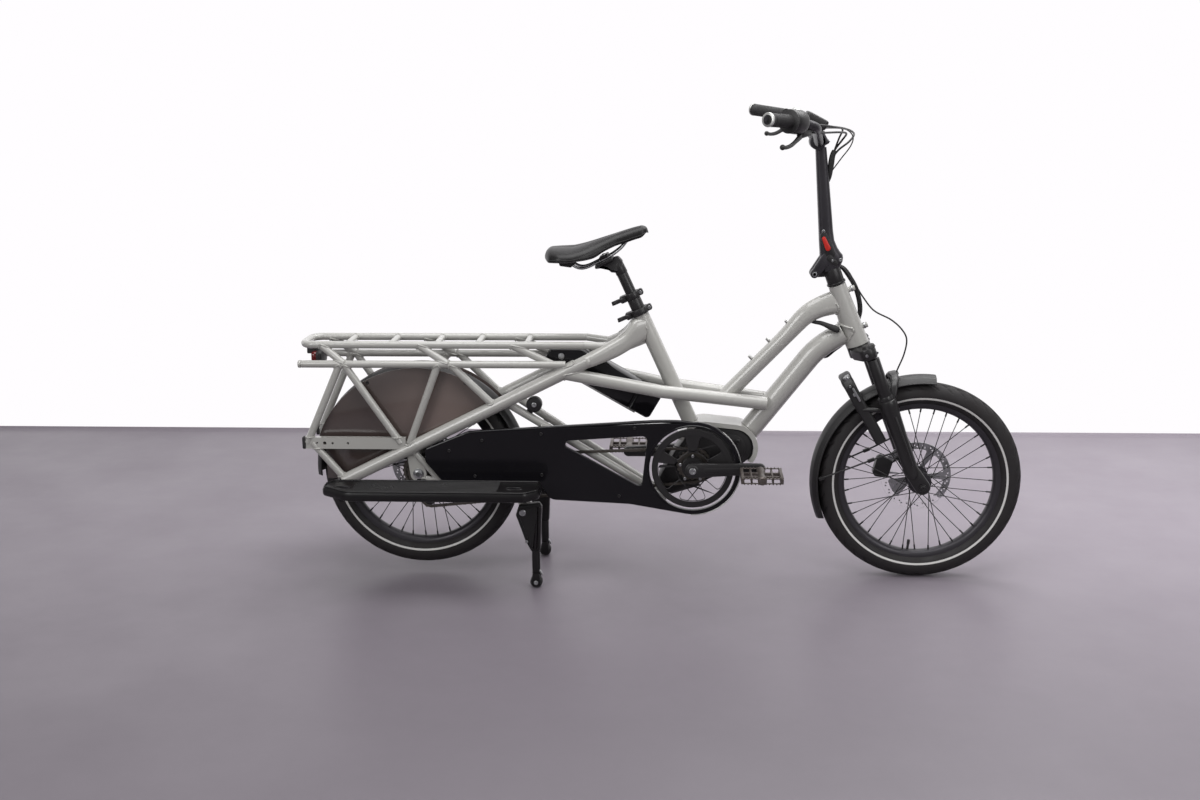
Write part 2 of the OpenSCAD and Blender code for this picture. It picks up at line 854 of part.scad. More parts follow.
module saddle() part(black) difference() {
    nose = [saddle_nose_x - nose_r, 0, saddle_nose_z - nose_r];
    tail = [saddle_nose_x - saddle_len + saddle_t / 2, 0, saddle_tail_z];
    waist = [waist_x, 0, waist_top_z - saddle_t / 2];
    union() {
        hull() {
            translate(nose) sphere(nose_r, $fn = 24);
            both() translate(waist + [0, waist_w / 2 - saddle_t / 2, 0]) sphere(d = saddle_t, $fn = 24);
        }
        hull() both() {
            translate(waist + [0, waist_w / 2 - saddle_t / 2, 0]) sphere(d = saddle_t, $fn = 24);
            translate(tail + [0, saddle_w / 2 - saddle_t / 2, 0]) sphere(d = saddle_t, $fn = 24);
        }
    }
    both() rail_room();
    seat_head(2 * weld_gap);
}

// Derailleur: an arm and a cage with the tension wheel
module derailleur() part(dark) {
    side_plate(drop_y, drop_y + drop_t) difference() {
        hull() {
            at(jockey_c, jockey_r / 2);
            at([jockey_c.x, rear_c.y - drop_r - jockey_r / 2 - weld_gap], jockey_r / 2);
        }
        at(rear_c, drop_r + weld_gap);
    }
    across(jockey_c, drop_y + drop_t + weld_gap, chain_y + chain_w, 2 * jockey_r);
}

// Brake calipers: a block with a slot for its rotor, on an arm
rotor_y = 36;
rotor_t = 2;
caliper = [44, 60];
caliper_in = 29.5;
caliper_out = 55;
arm_w = 14;
arm_gap = 0.5;
rear_brake_angle = 20;
front_brake_angle = 165;
rear_arm_end = [4, 318];
front_arm_end = [1240, 305];
front_arm_in = 44;

module caliper_block(c, a) difference() {
    translate([c.x, (caliper_in + caliper_out) / 2, c.y]) rotate([0, -a, 0])
        translate([rotor_d / 2, 0, 0])
            cube([caliper.x, caliper_out - caliper_in, caliper.y], center = true);
    across(c, rotor_y - run_gap / 2, rotor_y + rotor_t + run_gap / 2, rotor_d + 2 * run_gap);
}

module caliper_arm(c, a, end, y0, y1) side_plate(y0, y1) hull() {
    at(c + rotor_d / 2 * [cos(a), sin(a)], arm_w);
    at(end, arm_w / 2);
}

module rear_brake() part(black) {
    caliper_block(rear_c, rear_brake_angle);
    caliper_arm(rear_c, rear_brake_angle, rear_arm_end, caliper_out - over, -drop_y - drop_t - weld_gap);
}

// Cranks: the axle through the motor and an arm at each end
spindle_d = 22;
arm_y = -91;
arm_t = 15;
arm_end_r = 14;
arm_hub_r = 19;
crank_angle = 2;
pedal_axle_d = 12;
crank_tip = crank_len * [cos(crank_angle), sin(crank_angle)];

module crank_arm(tip) difference() {
    side_plate(arm_y - arm_t, arm_y) hull() {
        at(crank_c, arm_hub_r);
        at(crank_c + tip, arm_end_r);
    }
    across(crank_c + tip, arm_y - 2 * arm_t, arm_y + arm_t, pedal_axle_d + 2 * pin_gap);
}

module crank_arms() part(black) {
    across(crank_c, arm_y, -arm_y, spindle_d);
    crank_arm(crank_tip);
    mirror([0, 1, 0]) crank_arm(-crank_tip);
}

// Guard ring on five arms, with the sprocket behind it
ring_y = -82;
ring_t = 5;
ring_band = 17;
spider_w = 20;
ring_hub_r = 36;
sprocket_hub_r = 27;
module guard_ring() part(dark) {
    side_plate(ring_y, ring_y + ring_t) difference() {
        union() {
            difference() {
                at(crank_c, guard_ring_r);
                at(crank_c, guard_ring_r - ring_band);
            }
            at(crank_c, ring_hub_r);
            for (k = [0 : 4])
                translate(crank_c) rotate(90 + k * 72) translate([0, -spider_w / 2])
                    square([guard_ring_r - ring_band / 2, spider_w]);
        }
        at(crank_c, spindle_d / 2 + weld_gap);
    }
    difference() {
        union() {
            across(crank_c, ring_y + ring_t - over, chain_y + chain_w, 2 * sprocket_hub_r);
            across(crank_c, chain_y + chain_w / 4, chain_y + 3 * chain_w / 4, 2 * sprocket_r);
        }
        across(crank_c, ring_y, -ring_y, spindle_d + 2 * weld_gap);
    }
}

// Pedals: an open cage round a spindle
pedal_l = 104;
pedal_w = 94;
pedal_t = 20;
pedal_bar = 8;
pedal_hub_d = 22;
pedal_out_y = 8;
module pedal(tip) {
    c = crank_c + tip;
    y1 = arm_y - arm_t - pedal_out_y;
    difference() {
        union() {
            translate([c.x - pedal_l / 2, y1 - pedal_w, c.y - pedal_t / 2]) difference() {
                cube([pedal_l, pedal_w, pedal_t]);
                translate([pedal_bar, pedal_bar, -over])
                    cube([pedal_l - 2 * pedal_bar, pedal_w - 2 * pedal_bar, pedal_t + 2 * over]);
            }
            across(c, y1 - pedal_w, y1, pedal_hub_d);
        }
    }
    across(c, arm_y - arm_t / 2 - weld_gap - arm_t, arm_y - over, pedal_axle_d);
    across(c, y1 - over, arm_y - arm_t - weld_gap, pedal_axle_d);
}

module pedal_right() part(silver) pedal(crank_tip);
module pedal_left() part(silver) mirror([0, 1, 0]) pedal(-crank_tip);

// Wheels
rim_lip = 3;
rim_hook = 6;
rim_seat_r = tyre_d / 2 - tyre_h;
rim_edge_r = rim_seat_r + rim_hook;
rim_bed_r = rim_seat_r - rim_depth;
module tyre_profile() difference() {
    translate([tyre_d / 2 - tyre_w / 2, 0]) circle(d = tyre_w);
    translate([0, -tyre_w]) square([rim_seat_r + weld_gap, 2 * tyre_w]);
    for (s = [-1, 1])
        translate([0, s > 0 ? rim_w / 2 - rim_lip - weld_gap : -tyre_w])
            square([rim_edge_r + weld_gap, tyre_w - rim_w / 2 + rim_lip + weld_gap]);
}

module rim_profile() polygon([
    [rim_bed_r, -rim_w / 4], [rim_bed_r + rim_lip, -rim_w / 2], [rim_edge_r, -rim_w / 2],
    [rim_edge_r, rim_lip - rim_w / 2], [rim_seat_r, rim_lip - rim_w / 2], [rim_seat_r, rim_w / 2 - rim_lip],
    [rim_edge_r, rim_w / 2 - rim_lip], [rim_edge_r, rim_w / 2], [rim_bed_r + rim_lip, rim_w / 2],
    [rim_bed_r, rim_w / 4]]);

flange_y = 27;
flange_t = 3;
flange_r = 29;
hub_r = 15;
spoke_lean = 52;
spoke_side = 3;
spoke_rim_y = 4;
spoke_hole_r = 26;

module spokes(c) translate([c.x, 0, c.y]) rotate([90, 0, 0]) {
    pitch = 360 / spoke_count;
    for (k = [0 : spoke_count - 1]) {
        side = k % 2 == 0 ? 1 : -1;
        lean = floor(k / 2) % 2 == 0 ? 1 : -1;
        a = k * pitch;
        y0 = side * (flange_y + (lean > 0 ? spoke_side : -spoke_side) * 0.75);
        tube([spoke_hole_r * cos(a + lean * spoke_lean), spoke_hole_r * sin(a + lean * spoke_lean), y0],
             [(rim_bed_r - spoke_d / 2) * cos(a), (rim_bed_r - spoke_d / 2) * sin(a), side * spoke_rim_y], spoke_d);
    }
}

module hub(c, bore, half) difference() {
    union() {
        across(c, -half, half, 2 * hub_r);
        for (s = [-1, 1])
            across(c, s * flange_y - flange_t / 4, s * flange_y + flange_t / 4, 2 * flange_r);
    }
    across(c, -half - over, half + over, bore + 2 * pin_gap);
}

rotor_band = 16;
rotor_arms = 6;
rotor_arm_w = 9;
rotor_hub = 9;
module rotor(c) side_plate(rotor_y, rotor_y + rotor_t) difference() {
    union() {
        difference() {
            at(c, rotor_d / 2);
            at(c, rotor_d / 2 - rotor_band);
        }
        at(c, hub_r + rotor_hub);
        for (k = [0 : rotor_arms - 1])
            translate(c) rotate(k * 360 / rotor_arms) translate([0, -rotor_arm_w / 2])
                square([rotor_d / 2 - rotor_band / 2, rotor_arm_w]);
    }
    at(c, hub_r + weld_gap);
}

rear_hub_half = 55;
front_hub_half = 46;
front_axle_d = 15;
cog_t = 2.2;
module rear_tyre() part(black) turned(rear_c) tyre_profile();
module rear_rim() part(black) turned(rear_c) rim_profile();
module rear_spokes() part(dark) spokes(rear_c);
cog_carrier_r = 21;
cog_places = [-50.5, -43.5, -39.5, -35.5];
cog_radii = [34, 37, 42, 48];
module rear_hub() part(dark) {
    hub(rear_c, axle_d, rear_hub_half);
    difference() {
        union() {
            across(rear_c, cog_places[0] - cog_t, cog_places[3] + cog_t, 2 * cog_carrier_r);
            for (k = [0 : len(cog_places) - 1])
                across(rear_c, cog_places[k], cog_places[k] + cog_t, 2 * cog_radii[k]);
        }
        across(rear_c, -rear_hub_half - over, rear_hub_half, axle_d + 2 * pin_gap);
    }
}
module rear_rotor() part(silver) rotor(rear_c);
module front_tyre() part(black) turned(front_c) tyre_profile();
module front_rim() part(black) turned(front_c) rim_profile();
module front_spokes() part(dark) spokes(front_c);
module front_hub() part(dark) hub(front_c, front_axle_d, front_hub_half);
module front_rotor() part(silver) rotor(front_c);

// Fork: steerer, crown, handlepost base and hinge
crown_h = 30;
crown_gap = 3;
crown_d = 44;
base_d = 43;
base_top_z = 812;
pin_d = 9;
ear_r = 10;
lug_half = 8;
leg_ahead = 20;
hinge_c = [hinge_x, hinge_z];
crown_low = head_low - (crown_gap + crown_h) * steer_up;
base_low = head_top + crown_gap * steer_up;
base_top = base_low + (base_top_z - base_low.z) / sin(head_angle) * steer_up;

module crown_solid(grow) {
    tube(crown_low - grow * steer_up, crown_low + crown_h * steer_up, crown_d + 2 * grow);
    both() translate(leg_ahead * steer_ahead + [0, leg_half, 0])
        tube(crown_low - grow * steer_up, crown_low + crown_h * steer_up, leg_d + 2 * grow);
}

module fork_crown() part(black) {
    tube(head_low - (crown_gap - weld_gap) * steer_up, base_low + over * steer_up, steerer_d);
    hull() crown_solid(0);
    // Base of the folding post, with the hinge's middle lug and pin
    tube(base_low, base_top, base_d);
    side_plate(-lug_half, lug_half) hull() {
        at(hinge_c, ear_r);
        at([base_top.x, base_top.z - ear_r], ear_r);
    }
    across(hinge_c, -lug_half - 3 * ear_r / 2, lug_half + 3 * ear_r / 2, pin_d);
}

leg_top_z = 474;
arch_d = 18;
arch_foot = [1199, -62, 466];
arch_clear = 36;
arch_knee = [1212, -46, tyre_d + arch_clear / 2];
arch_top = [1214, 0, tyre_d + arch_clear];
leg_low_z = 290;
leg_foot_r = 19;
module fork_leg_axis(z0, z1, d) {
    p = crown_low + leg_ahead * steer_ahead + [0, -leg_half, 0];
    lean = steer_up / steer_up.z;
    tube(p + (z0 - p.z) * lean, p + (z1 - p.z) * lean, d);
}

module fork_legs() part(black) {
    both() difference() {
        union() {
            fork_leg_axis(leg_low_z, leg_top_z, leg_d);
            fork_leg_axis(leg_top_z, crown_low.z + leg_d / 2, stanchion_d);
            side_plate(-leg_half - leg_d / 4, -leg_half + leg_d / 3) hull() {
                at(front_c, leg_foot_r);
                at([front_c.x - 2 * leg_foot_r, front_c.y + 2 * leg_foot_r], leg_foot_r);
            }
        }
        across(front_c, -2 * leg_half, 2 * leg_half, front_axle_d + 2 * weld_gap);
        hull() crown_solid(weld_gap);
    }
    across(front_c, -leg_half - leg_d / 4, leg_half + leg_d / 4, front_axle_d);
    both() difference() {
        arch();
        fork_leg_axis(leg_low_z, leg_top_z + weld_gap, leg_d + 2 * weld_gap);
        fork_leg_axis(leg_low_z, crown_low.z, stanchion_d + 2 * weld_gap);
    }
}

module arch(grow = 0) {
    tube(arch_foot, arch_knee, arch_d + grow);
    knuckle(arch_knee, arch_d + grow);
    tube(arch_knee, arch_top, arch_d + grow);
    knuckle(arch_top, arch_d + grow);
}

mud_stub_d = 12;
module front_mudguard() part(black) {
    turned(front_c, front_mud_start_angle, front_mud_end_angle) mud_profile();
    difference() {
        dir = (arch_top - [front_c.x, 0, front_c.y]) / norm(arch_top - [front_c.x, 0, front_c.y]);
        tube([front_c.x, 0, front_c.y] + (mud_r + mud_crown - mud_wall / 2) * dir, arch_top, mud_stub_d);
        arch(2 * weld_gap);
        mirror([0, 1, 0]) arch(2 * weld_gap);
    }
}

// Ring lock: a horseshoe behind the fork, over the tyre
lock_top = [1093, 530];
lock_low = [1183, 374];
lock_t = 30;
lock_in = 42;
lock_out = 57;
module lock_shape(grow) {
    v = lock_low - lock_top;
    translate([lock_top.x, 0, lock_top.y]) rotate([0, -atan2(v.y, v.x), 0]) difference() {
        translate([-grow, -lock_out - grow, -lock_t / 2 - grow])
            cube([norm(v) + 2 * grow, 2 * lock_out + 2 * grow, lock_t + 2 * grow]);
        translate([lock_out - lock_in + grow, -lock_in + grow, -lock_t])
            cube([norm(v) + 2 * grow, 2 * lock_in - 2 * grow, 2 * lock_t]);
    }
}

// Brackets from the lock's arms to the fork's legs
lock_arm_d = 13;
lock_arm_rear = [1134, -50, 458];
lock_arm_front = [1192, -58, 458];
module ring_lock() part(black) {
    lock_shape(0);
    both() difference() {
        tube(lock_arm_rear, lock_arm_front, lock_arm_d);
        lock_shape(weld_gap);
        fork_leg_axis(leg_low_z, leg_top_z, leg_d + 2 * weld_gap);
    }
}

module front_brake() part(black) {
    caliper_block(front_c, front_brake_angle);
    difference() {
        caliper_arm(front_c, front_brake_angle, front_arm_end, front_arm_in,
                    leg_half - leg_d / 3 - weld_gap);
        mirror([0, 1, 0]) fork_leg_axis(leg_low_z - leg_d, leg_top_z, leg_d + 2 * weld_gap);
        across(front_c, rotor_y - run_gap, front_arm_in, rotor_d + 2 * run_gap);
    }
}

// Folding handlepost
post_low_d = 36;
post_high_d = 28;
post_base_gap = 0.6;
flare_x = 24;
flare_h = 62;
clamp_d = 40;
clamp_half = 21;
post_foot = [1044, 0, 814];
post_head = [1009, 0, 1104];
module handlepost() part(black) {
    difference() {
        union() {
            tube(post_foot, post_head, post_low_d, post_high_d);
            side_plate(-base_d / 2, base_d / 2) hull() {
                at([post_foot.x + flare_x, post_foot.z + ear_r], ear_r);
                at([post_foot.x - ear_r, post_foot.z + ear_r], ear_r);
                at([post_foot.x - ear_r, post_foot.z + flare_h], ear_r);
            }
            side_plate(-base_d / 2, base_d / 2) hull() {
                at(hinge_c, ear_r);
                at([post_foot.x - ear_r, post_foot.z + 2 * ear_r], ear_r);
            }
        }
        across(hinge_c, -base_d, base_d, pin_d + 2 * pin_gap);
        side_plate(-lug_half - pin_gap, lug_half + pin_gap) hull() {
            at(hinge_c, ear_r + 2 * pin_gap);
            at([base_top.x, base_top.z - ear_r], ear_r + 2 * pin_gap);
        }
        tube(base_low, base_top + post_base_gap * steer_up, base_d + 2 * post_base_gap);
    }
    difference() {
        across([clamp_x, clamp_z], -clamp_half, clamp_half, clamp_d);
        across([clamp_x, clamp_z], -clamp_half - over, clamp_half + over, bar_d + 2 * pin_gap);
    }
}

bar_flat = 40;
bar_mid_shares = [0.15, 0.5, 0.62];
bar_grip_shares = [0.42, 0.63, 0.84];
bar_end = [clamp_x - bar_sweep, -bar_w / 2, clamp_z + bar_rise];
bar_start = [clamp_x, -bar_flat, clamp_z];
function bar_at(shares) = bar_start + [for (k = [0 : 2]) shares[k] * (bar_end - bar_start)[k]];
bar_elbow = bar_at(bar_mid_shares);
bar_bend = bar_at(bar_grip_shares);
grip_dir = (bar_end - bar_bend) / norm(bar_end - bar_bend);
grip_in = bar_end - grip_len * grip_dir;
grip_d = 33;

module handlebar() part(black) {
    tube([clamp_x, -bar_flat, clamp_z], [clamp_x, bar_flat, clamp_z], bar_d);
    both() {
        knuckle(bar_start, bar_d);
        tube(bar_start, bar_elbow, bar_d);
        knuckle(bar_elbow, bar_d);
        tube(bar_elbow, bar_bend, bar_d);
        knuckle(bar_bend, bar_d);
        tube(bar_bend, bar_end - over * grip_dir, bar_d);
    }
}

module grips() part(black) both() difference() {
    tube(grip_in, bar_end, grip_d);
    tube(bar_bend - bar_d * grip_dir, bar_end - (over - weld_gap) * grip_dir, bar_d + 2 * weld_gap);
    knuckle(bar_bend, bar_d + 2 * weld_gap);
}

collar_out_d = 34;
collar_len = 26;
shifter_d = 56;
shifter_len = 44;
shifter_gap = 3;
lever_d = 9;
lever_root = [944, -232, 1146];
lever_tip = [901, -306, 1126];
lever_ball = 13;
bar_dir = (bar_bend - bar_elbow) / norm(bar_bend - bar_elbow);
display = [60, 74, 26];
display_c = [1001, 0, 1172];
display_tilt = 28;
bridge_w = 24;

module bar_controls() part(black) {
    both() {
        difference() {
            union() {
                tube(bar_bend - (collar_len + bar_d) * bar_dir, bar_bend - bar_d * bar_dir, collar_out_d);
                tube(bar_bend - (collar_len / 2 + bar_d) * bar_dir, lever_root, 2 * lever_d);
            }
            tube(bar_elbow - bar_d * bar_dir, bar_bend, bar_d + 2 * pin_gap);
        }
        tube(lever_root, lever_tip, lever_d);
        knuckle(lever_root, 2 * lever_d);
        translate(lever_tip) sphere(d = lever_ball);
    }
    // Twist shifter round the inner end of the right grip
    difference() {
        tube(grip_in + shifter_gap * grip_dir, grip_in + (shifter_gap + shifter_len) * grip_dir, shifter_d);
        tube(grip_in - grip_d * grip_dir, bar_end, grip_d + 2 * weld_gap);
    }
    // Display over the bar's clamp
    difference() {
        union() {
            translate(display_c) rotate([0, -display_tilt, 0]) cube(display, center = true);
            translate([clamp_x - bridge_w / 2, -bridge_w / 2, clamp_z])
                cube([bridge_w, bridge_w, display_c.z - clamp_z]);
        }
        across([clamp_x, clamp_z], -clamp_half - over, clamp_half + over, clamp_d + 2 * weld_gap);
    }
}

// Stand: an axle with a leg at each end, and a roller on each leg
leg_plate_t = 24;
leg_top_front = [318, 239];
leg_top_rear = [258, 215];
leg_mid_rear = [277, 118];
leg_low = [310, 92];
leg_tube_d = 22;
foot_c = [stand_x + foot_reach, roller_d / 2];
roller_w = 26;
foot_pin_z = 22;
module stand_legs() part(black) {
    across(stand_c, -stand_half - leg_plate_t / 2, stand_half + leg_plate_t / 2, stand_axle_d);
    both() difference() {
        union() {
            side_plate(-stand_half - leg_plate_t / 2, -stand_half + leg_plate_t / 2) hull() {
                at(stand_c, lug_r);
                at([foot_c.x, stand_c.y + lug_r / 2], lug_r);
                at([foot_c.x, leg_low.y + leg_tube_d], leg_tube_d / 2);
            }
            tube([foot_c.x, -stand_half, leg_low.y + leg_tube_d], [foot_c.x, -stand_half, foot_c.y], leg_tube_d);
        }
        across(stand_c, -2 * stand_half, 2 * stand_half, stand_axle_d + 2 * weld_gap);
        across(foot_c, -2 * stand_half, 2 * stand_half, roller_d + 2 * weld_gap);
    }
}

module stand_rollers() part(black) both()
    across(foot_c, -stand_half - roller_w / 2, -stand_half + roller_w / 2, roller_d);

head_tube();
top_tube();
down_tube();
seat_tube();
motor_shell();
mid_tubes();
battery_pads();
long_stays();
truss_right();
truss_left();
side_rails();
tube_plugs();
rack_deck();
lower_stays();
rear_axle();
motor();
battery();
chain_guard();
chain();
footboard_right();
footboard_left();
footboard_brackets();
rear_mudguard();
wheel_guards();
tail_light();
seat_post();
saddle_rails();
saddle();
derailleur();
rear_brake();
crank_arms();
guard_ring();
pedal_right();
pedal_left();
rear_tyre();
rear_rim();
rear_spokes();
rear_hub();
rear_rotor();
fork_crown();
fork_legs();
front_mudguard();
ring_lock();
front_brake();
front_tyre();
front_rim();
front_spokes();
front_hub();
front_rotor();
handlepost();
handlebar();
grips();
bar_controls();
stand_legs();
stand_rollers();
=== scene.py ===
# %% [markdown]
# # A long-tail electric cargo bike
# This lesson dresses a finished CAD model. The CAD gives every tube, wheel and joint its place; here each
# surface gets the shape and finish that the eye expects: welds, tread, spokes, cables and moulded parts.
# All places are written in millimetres as a bike fitter would measure them: x ahead of the rear axle, y
# to the rider's left and z above the floor. One function turns them into the CAD's metres.

# %% Load the frame
import math

import bpy
import numpy as np
from mathutils import Matrix


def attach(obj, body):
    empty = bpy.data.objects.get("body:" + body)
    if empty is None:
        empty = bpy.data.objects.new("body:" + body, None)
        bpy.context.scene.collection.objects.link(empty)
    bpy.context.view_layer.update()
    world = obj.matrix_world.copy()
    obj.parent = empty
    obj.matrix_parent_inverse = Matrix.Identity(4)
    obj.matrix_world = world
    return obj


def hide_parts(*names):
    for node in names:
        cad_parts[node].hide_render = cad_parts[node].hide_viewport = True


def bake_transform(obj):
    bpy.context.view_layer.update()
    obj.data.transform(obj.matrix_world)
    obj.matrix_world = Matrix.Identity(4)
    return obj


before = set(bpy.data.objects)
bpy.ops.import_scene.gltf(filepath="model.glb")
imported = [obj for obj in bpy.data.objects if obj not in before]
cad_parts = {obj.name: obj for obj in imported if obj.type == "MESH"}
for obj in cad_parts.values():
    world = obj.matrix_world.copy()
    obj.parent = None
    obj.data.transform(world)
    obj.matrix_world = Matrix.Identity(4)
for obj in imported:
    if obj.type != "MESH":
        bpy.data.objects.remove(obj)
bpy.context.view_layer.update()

# %% [markdown]
# ## Colours and nodes
# A colour picker gives sRGB hex values, but the renderer adds light in linear numbers, so one function
# converts. A material is a graph of nodes; one function adds a node, sets it up and links it, which keeps
# each recipe short enough to read.

# %% Colours and nodes
SRGB_KNEE = 0.04045


def tint(code):
    """Linear RGBA of an sRGB hex: below the knee a straight share, above it ((c + 0.055) / 1.055) to 2.4."""
    c = np.array([int(code[k:k + 2], 16) for k in (1, 3, 5)]) / 255
    lin = np.where(c < SRGB_KNEE, c / 12.92, ((c + 0.055) / 1.055) ** 2.4)
    return (*lin.tolist(), 1.0)


def node(tree, kind, settings=None, **links):
    """Adds one node: settings are its properties, and each link names an input, or gives its number as i0,
    i1 and so on, and says what feeds it."""
    n = tree.nodes.new("ShaderNode" + kind)
    for key, value in (settings or {}).items():
        setattr(n, key, value)
    for key, value in links.items():
        by_number = key[0] == "i" and key[1:].isdigit()
        socket = n.inputs[int(key[1:]) if by_number else key.replace("_", " ")]
        if isinstance(value, bpy.types.NodeSocket):
            tree.links.new(value, socket)
        else:
            socket.default_value = value
    return n


def blended(tree, share, first, second):
    """A colour between two others: the share, from 0 to 1, says how much of the second is in it."""
    return node(tree, "Mix", {"data_type": "RGBA"}, i0=share, i6=first, i7=second).outputs[2]


print("mid grey in linear light:", round(tint("#808080")[0], 3))

# %% [markdown]
# ## A recipe for every finish
# No real surface is one even colour. A painted picture could be wrapped round each mesh, but it would
# need a file and would blur close up, so a finish here is a formula: a soft noise mixes two near colours,
# a fine noise raises a grain, and a stretched noise leaves scuffs.

# %% Finish recipe


def finish(name, base, rough, metal=0.0, mottle=None, bump=None, streak=None, **sockets):
    """A finish from one shader. mottle = (second colour, patch in mm, share) blends two colours by a soft
    noise; bump = (grain in mm, height in mm) raises a fine grain; streak = (colour, spacing in mm, share)
    adds sparse scuffs; the rest are numbers for the shader's own sockets."""
    mat = bpy.data.materials.new(name)
    mat.use_nodes = True
    tree = mat.node_tree
    shader = tree.nodes["Principled BSDF"]
    shader.inputs["Metallic"].default_value = metal
    shader.inputs["Roughness"].default_value = rough
    shader.inputs["Base Color"].default_value = tint(base)
    for key, value in sockets.items():
        shader.inputs[key.replace("_", " ")].default_value = value
    place = node(tree, "TexCoord").outputs["Object"]
    colour = None
    if mottle:
        second, patch, share = mottle
        noise = node(tree, "TexNoise", Vector=place, Scale=1000 / patch, Detail=5.0, Roughness=0.6).outputs[0]
        ramp = node(tree, "MapRange", i0=noise, i1=0.5 - share / 2, i2=0.5 + share / 2 + 0.15)
        colour = blended(tree, ramp.outputs[0], tint(base), tint(second))
        rough_map = node(tree, "MapRange", i0=noise, i1=0.3, i2=0.7, i3=rough * 0.85,
                         i4=min(1.0, rough * 1.2))
        tree.links.new(rough_map.outputs[0], shader.inputs["Roughness"])
    if streak:
        scuff, spacing, share = streak
        stretched = node(tree, "Mapping", Vector=place, Scale=(0.25, 1.0, 1.0)).outputs[0]
        marks = node(tree, "TexNoise", Vector=stretched, Scale=1000 / spacing, Detail=8.0, Roughness=0.75)
        wear_and_painted_glow = node(tree, "MapRange", i0=marks.outputs[0], i1=0.72 - share, i2=0.78 - share)
        colour = blended(tree, wear_and_painted_glow.outputs[0], colour or tint(base), tint(scuff))
    if colour:
        tree.links.new(colour, shader.inputs["Base Color"])
    if bump:
        grain, height = bump
        fine = node(tree, "TexNoise", Vector=place, Scale=1000 / grain, Detail=2.0)
        raised = node(tree, "Bump", Height=fine.outputs[0], Distance=height / 1000, Strength=1.0)
        tree.links.new(raised.outputs[0], shader.inputs["Normal"])
    return mat


print("finish recipe: base, mottle, scuffs and grain")

# %% [markdown]
# ## The camera
# The photograph was matched by solving for a camera that sees both tyres as circles of 520 mm. Its lens,
# place and three turns are written here as numbers, so the render lines up with the picture.

# %% Camera
CAMERA_PLACE = (0.0526, -3.483, 1.3186)
LENS_MM, SENSOR_MM, FAR_CLIP = 41.74, 36.0, 60.0
YAW, PITCH, ROLL = -0.0604, 0.2393, -0.0092

ahead = np.array([math.sin(YAW) * math.cos(PITCH), math.cos(YAW) * math.cos(PITCH), -math.sin(PITCH)])
right = np.array([math.cos(YAW), -math.sin(YAW), 0.0])
above = np.cross(right, ahead)
right, above = (right * math.cos(ROLL) + above * math.sin(ROLL),
                above * math.cos(ROLL) - right * math.sin(ROLL))
turn = Matrix(np.column_stack([right, above, -ahead]).tolist()).to_4x4()
eye = bpy.data.objects.new("camera", bpy.data.cameras.new("camera"))
eye.data.lens, eye.data.sensor_width = LENS_MM, SENSOR_MM
eye.data.clip_end = FAR_CLIP
eye.matrix_world = Matrix.Translation(CAMERA_PLACE) @ turn
bpy.context.scene.collection.objects.link(eye)
bpy.context.scene.camera = eye
print("camera looks along", ahead.round(3))

# %% [markdown]
# ## The room's paint
# The floor is painted concrete. Its colour is scaled up by two ramps, towards the wall and towards the right:
# a painted brightening that stands in for the white wall's reflection in the floor. The wall is burnt out to
# white for the camera and for reflections only, as in the photograph: a shader can ask which kind of ray has
# met it. From behind the wall is clear, so that the bike can be looked at from all sides.

# %% Floor and wall paint
floor_paint = finish("painted_concrete", "#7f7880", 0.4, mottle=("#777078", 420.0, 0.5), bump=(6.0, 0.04))
floor_tree = floor_paint.node_tree
floor_shader = floor_tree.nodes["Principled BSDF"]
where = node(floor_tree, "SeparateXYZ", Vector=node(floor_tree, "TexCoord").outputs["Object"]).outputs
# painted light: the floor's colour is raised towards the wall and the right, standing in for the wall's
# reflection
to_wall = node(floor_tree, "MapRange", i0=where["Y"], i1=-0.9, i2=0.45, i3=0.68, i4=1.02).outputs[0]
to_right = node(floor_tree, "MapRange", i0=where["X"], i1=0.2, i2=1.5, i3=1.0, i4=1.4).outputs[0]
painted_glow_gain = node(floor_tree, "Math", {"operation": "MULTIPLY"}, i0=to_wall, i1=to_right).outputs[0]
painted = floor_shader.inputs["Base Color"].links[0].from_socket
wear_and_painted_glow = node(floor_tree, "VectorMath", {"operation": "SCALE"}, i0=painted, Scale=painted_glow_gain).outputs[0]
floor_tree.links.new(wear_and_painted_glow, floor_shader.inputs["Base Color"])

wall_paint = finish("matt_white_wall", "#eceaee", 0.9)
wall_tree = wall_paint.node_tree
ray = node(wall_tree, "LightPath").outputs
seen = ray["Is Camera Ray"]
for kind in ("Is Glossy Ray", "Is Transmission Ray"):
    seen = node(wall_tree, "Math", {"operation": "MAXIMUM"}, i0=seen, i1=ray[kind]).outputs[0]
white = node(wall_tree, "Emission", Color=tint("#fffdff"), Strength=1.0).outputs[0]
plain = wall_tree.nodes["Principled BSDF"].outputs[0]
shown = node(wall_tree, "MixShader", i0=seen, i1=plain, i2=white).outputs[0]
behind_it = node(wall_tree, "NewGeometry").outputs["Backfacing"]
clear = node(wall_tree, "BsdfTransparent").outputs[0]
shown = node(wall_tree, "MixShader", i0=behind_it, i1=shown, i2=clear).outputs[0]
wall_tree.links.new(shown, wall_tree.nodes["Material Output"].inputs["Surface"])
print("room paints:", floor_paint.name, "and", wall_paint.name)

# %% [markdown]
# ## The room
# A studio photograph has a floor that runs up to a pale wall. Two planes would meet in a hard corner, so
# one strip is used, which a quarter circle bends from the floor into the wall.

# %% Floor and wall
ROOM_HALF, WALL_TOP, WALL_Y, COVE_R = 9.0, 7.0, 1.42, 0.04


def object_from(name, points, faces, material):
    """A smooth mesh object from an array of points in metres and a list of faces."""
    mesh = bpy.data.meshes.new(name)
    mesh.from_pydata(points.tolist(), [], faces)
    mesh.materials.append(material)
    mesh.shade_smooth()
    obj = bpy.data.objects.new(name, mesh)
    bpy.context.scene.collection.objects.link(obj)
    return obj


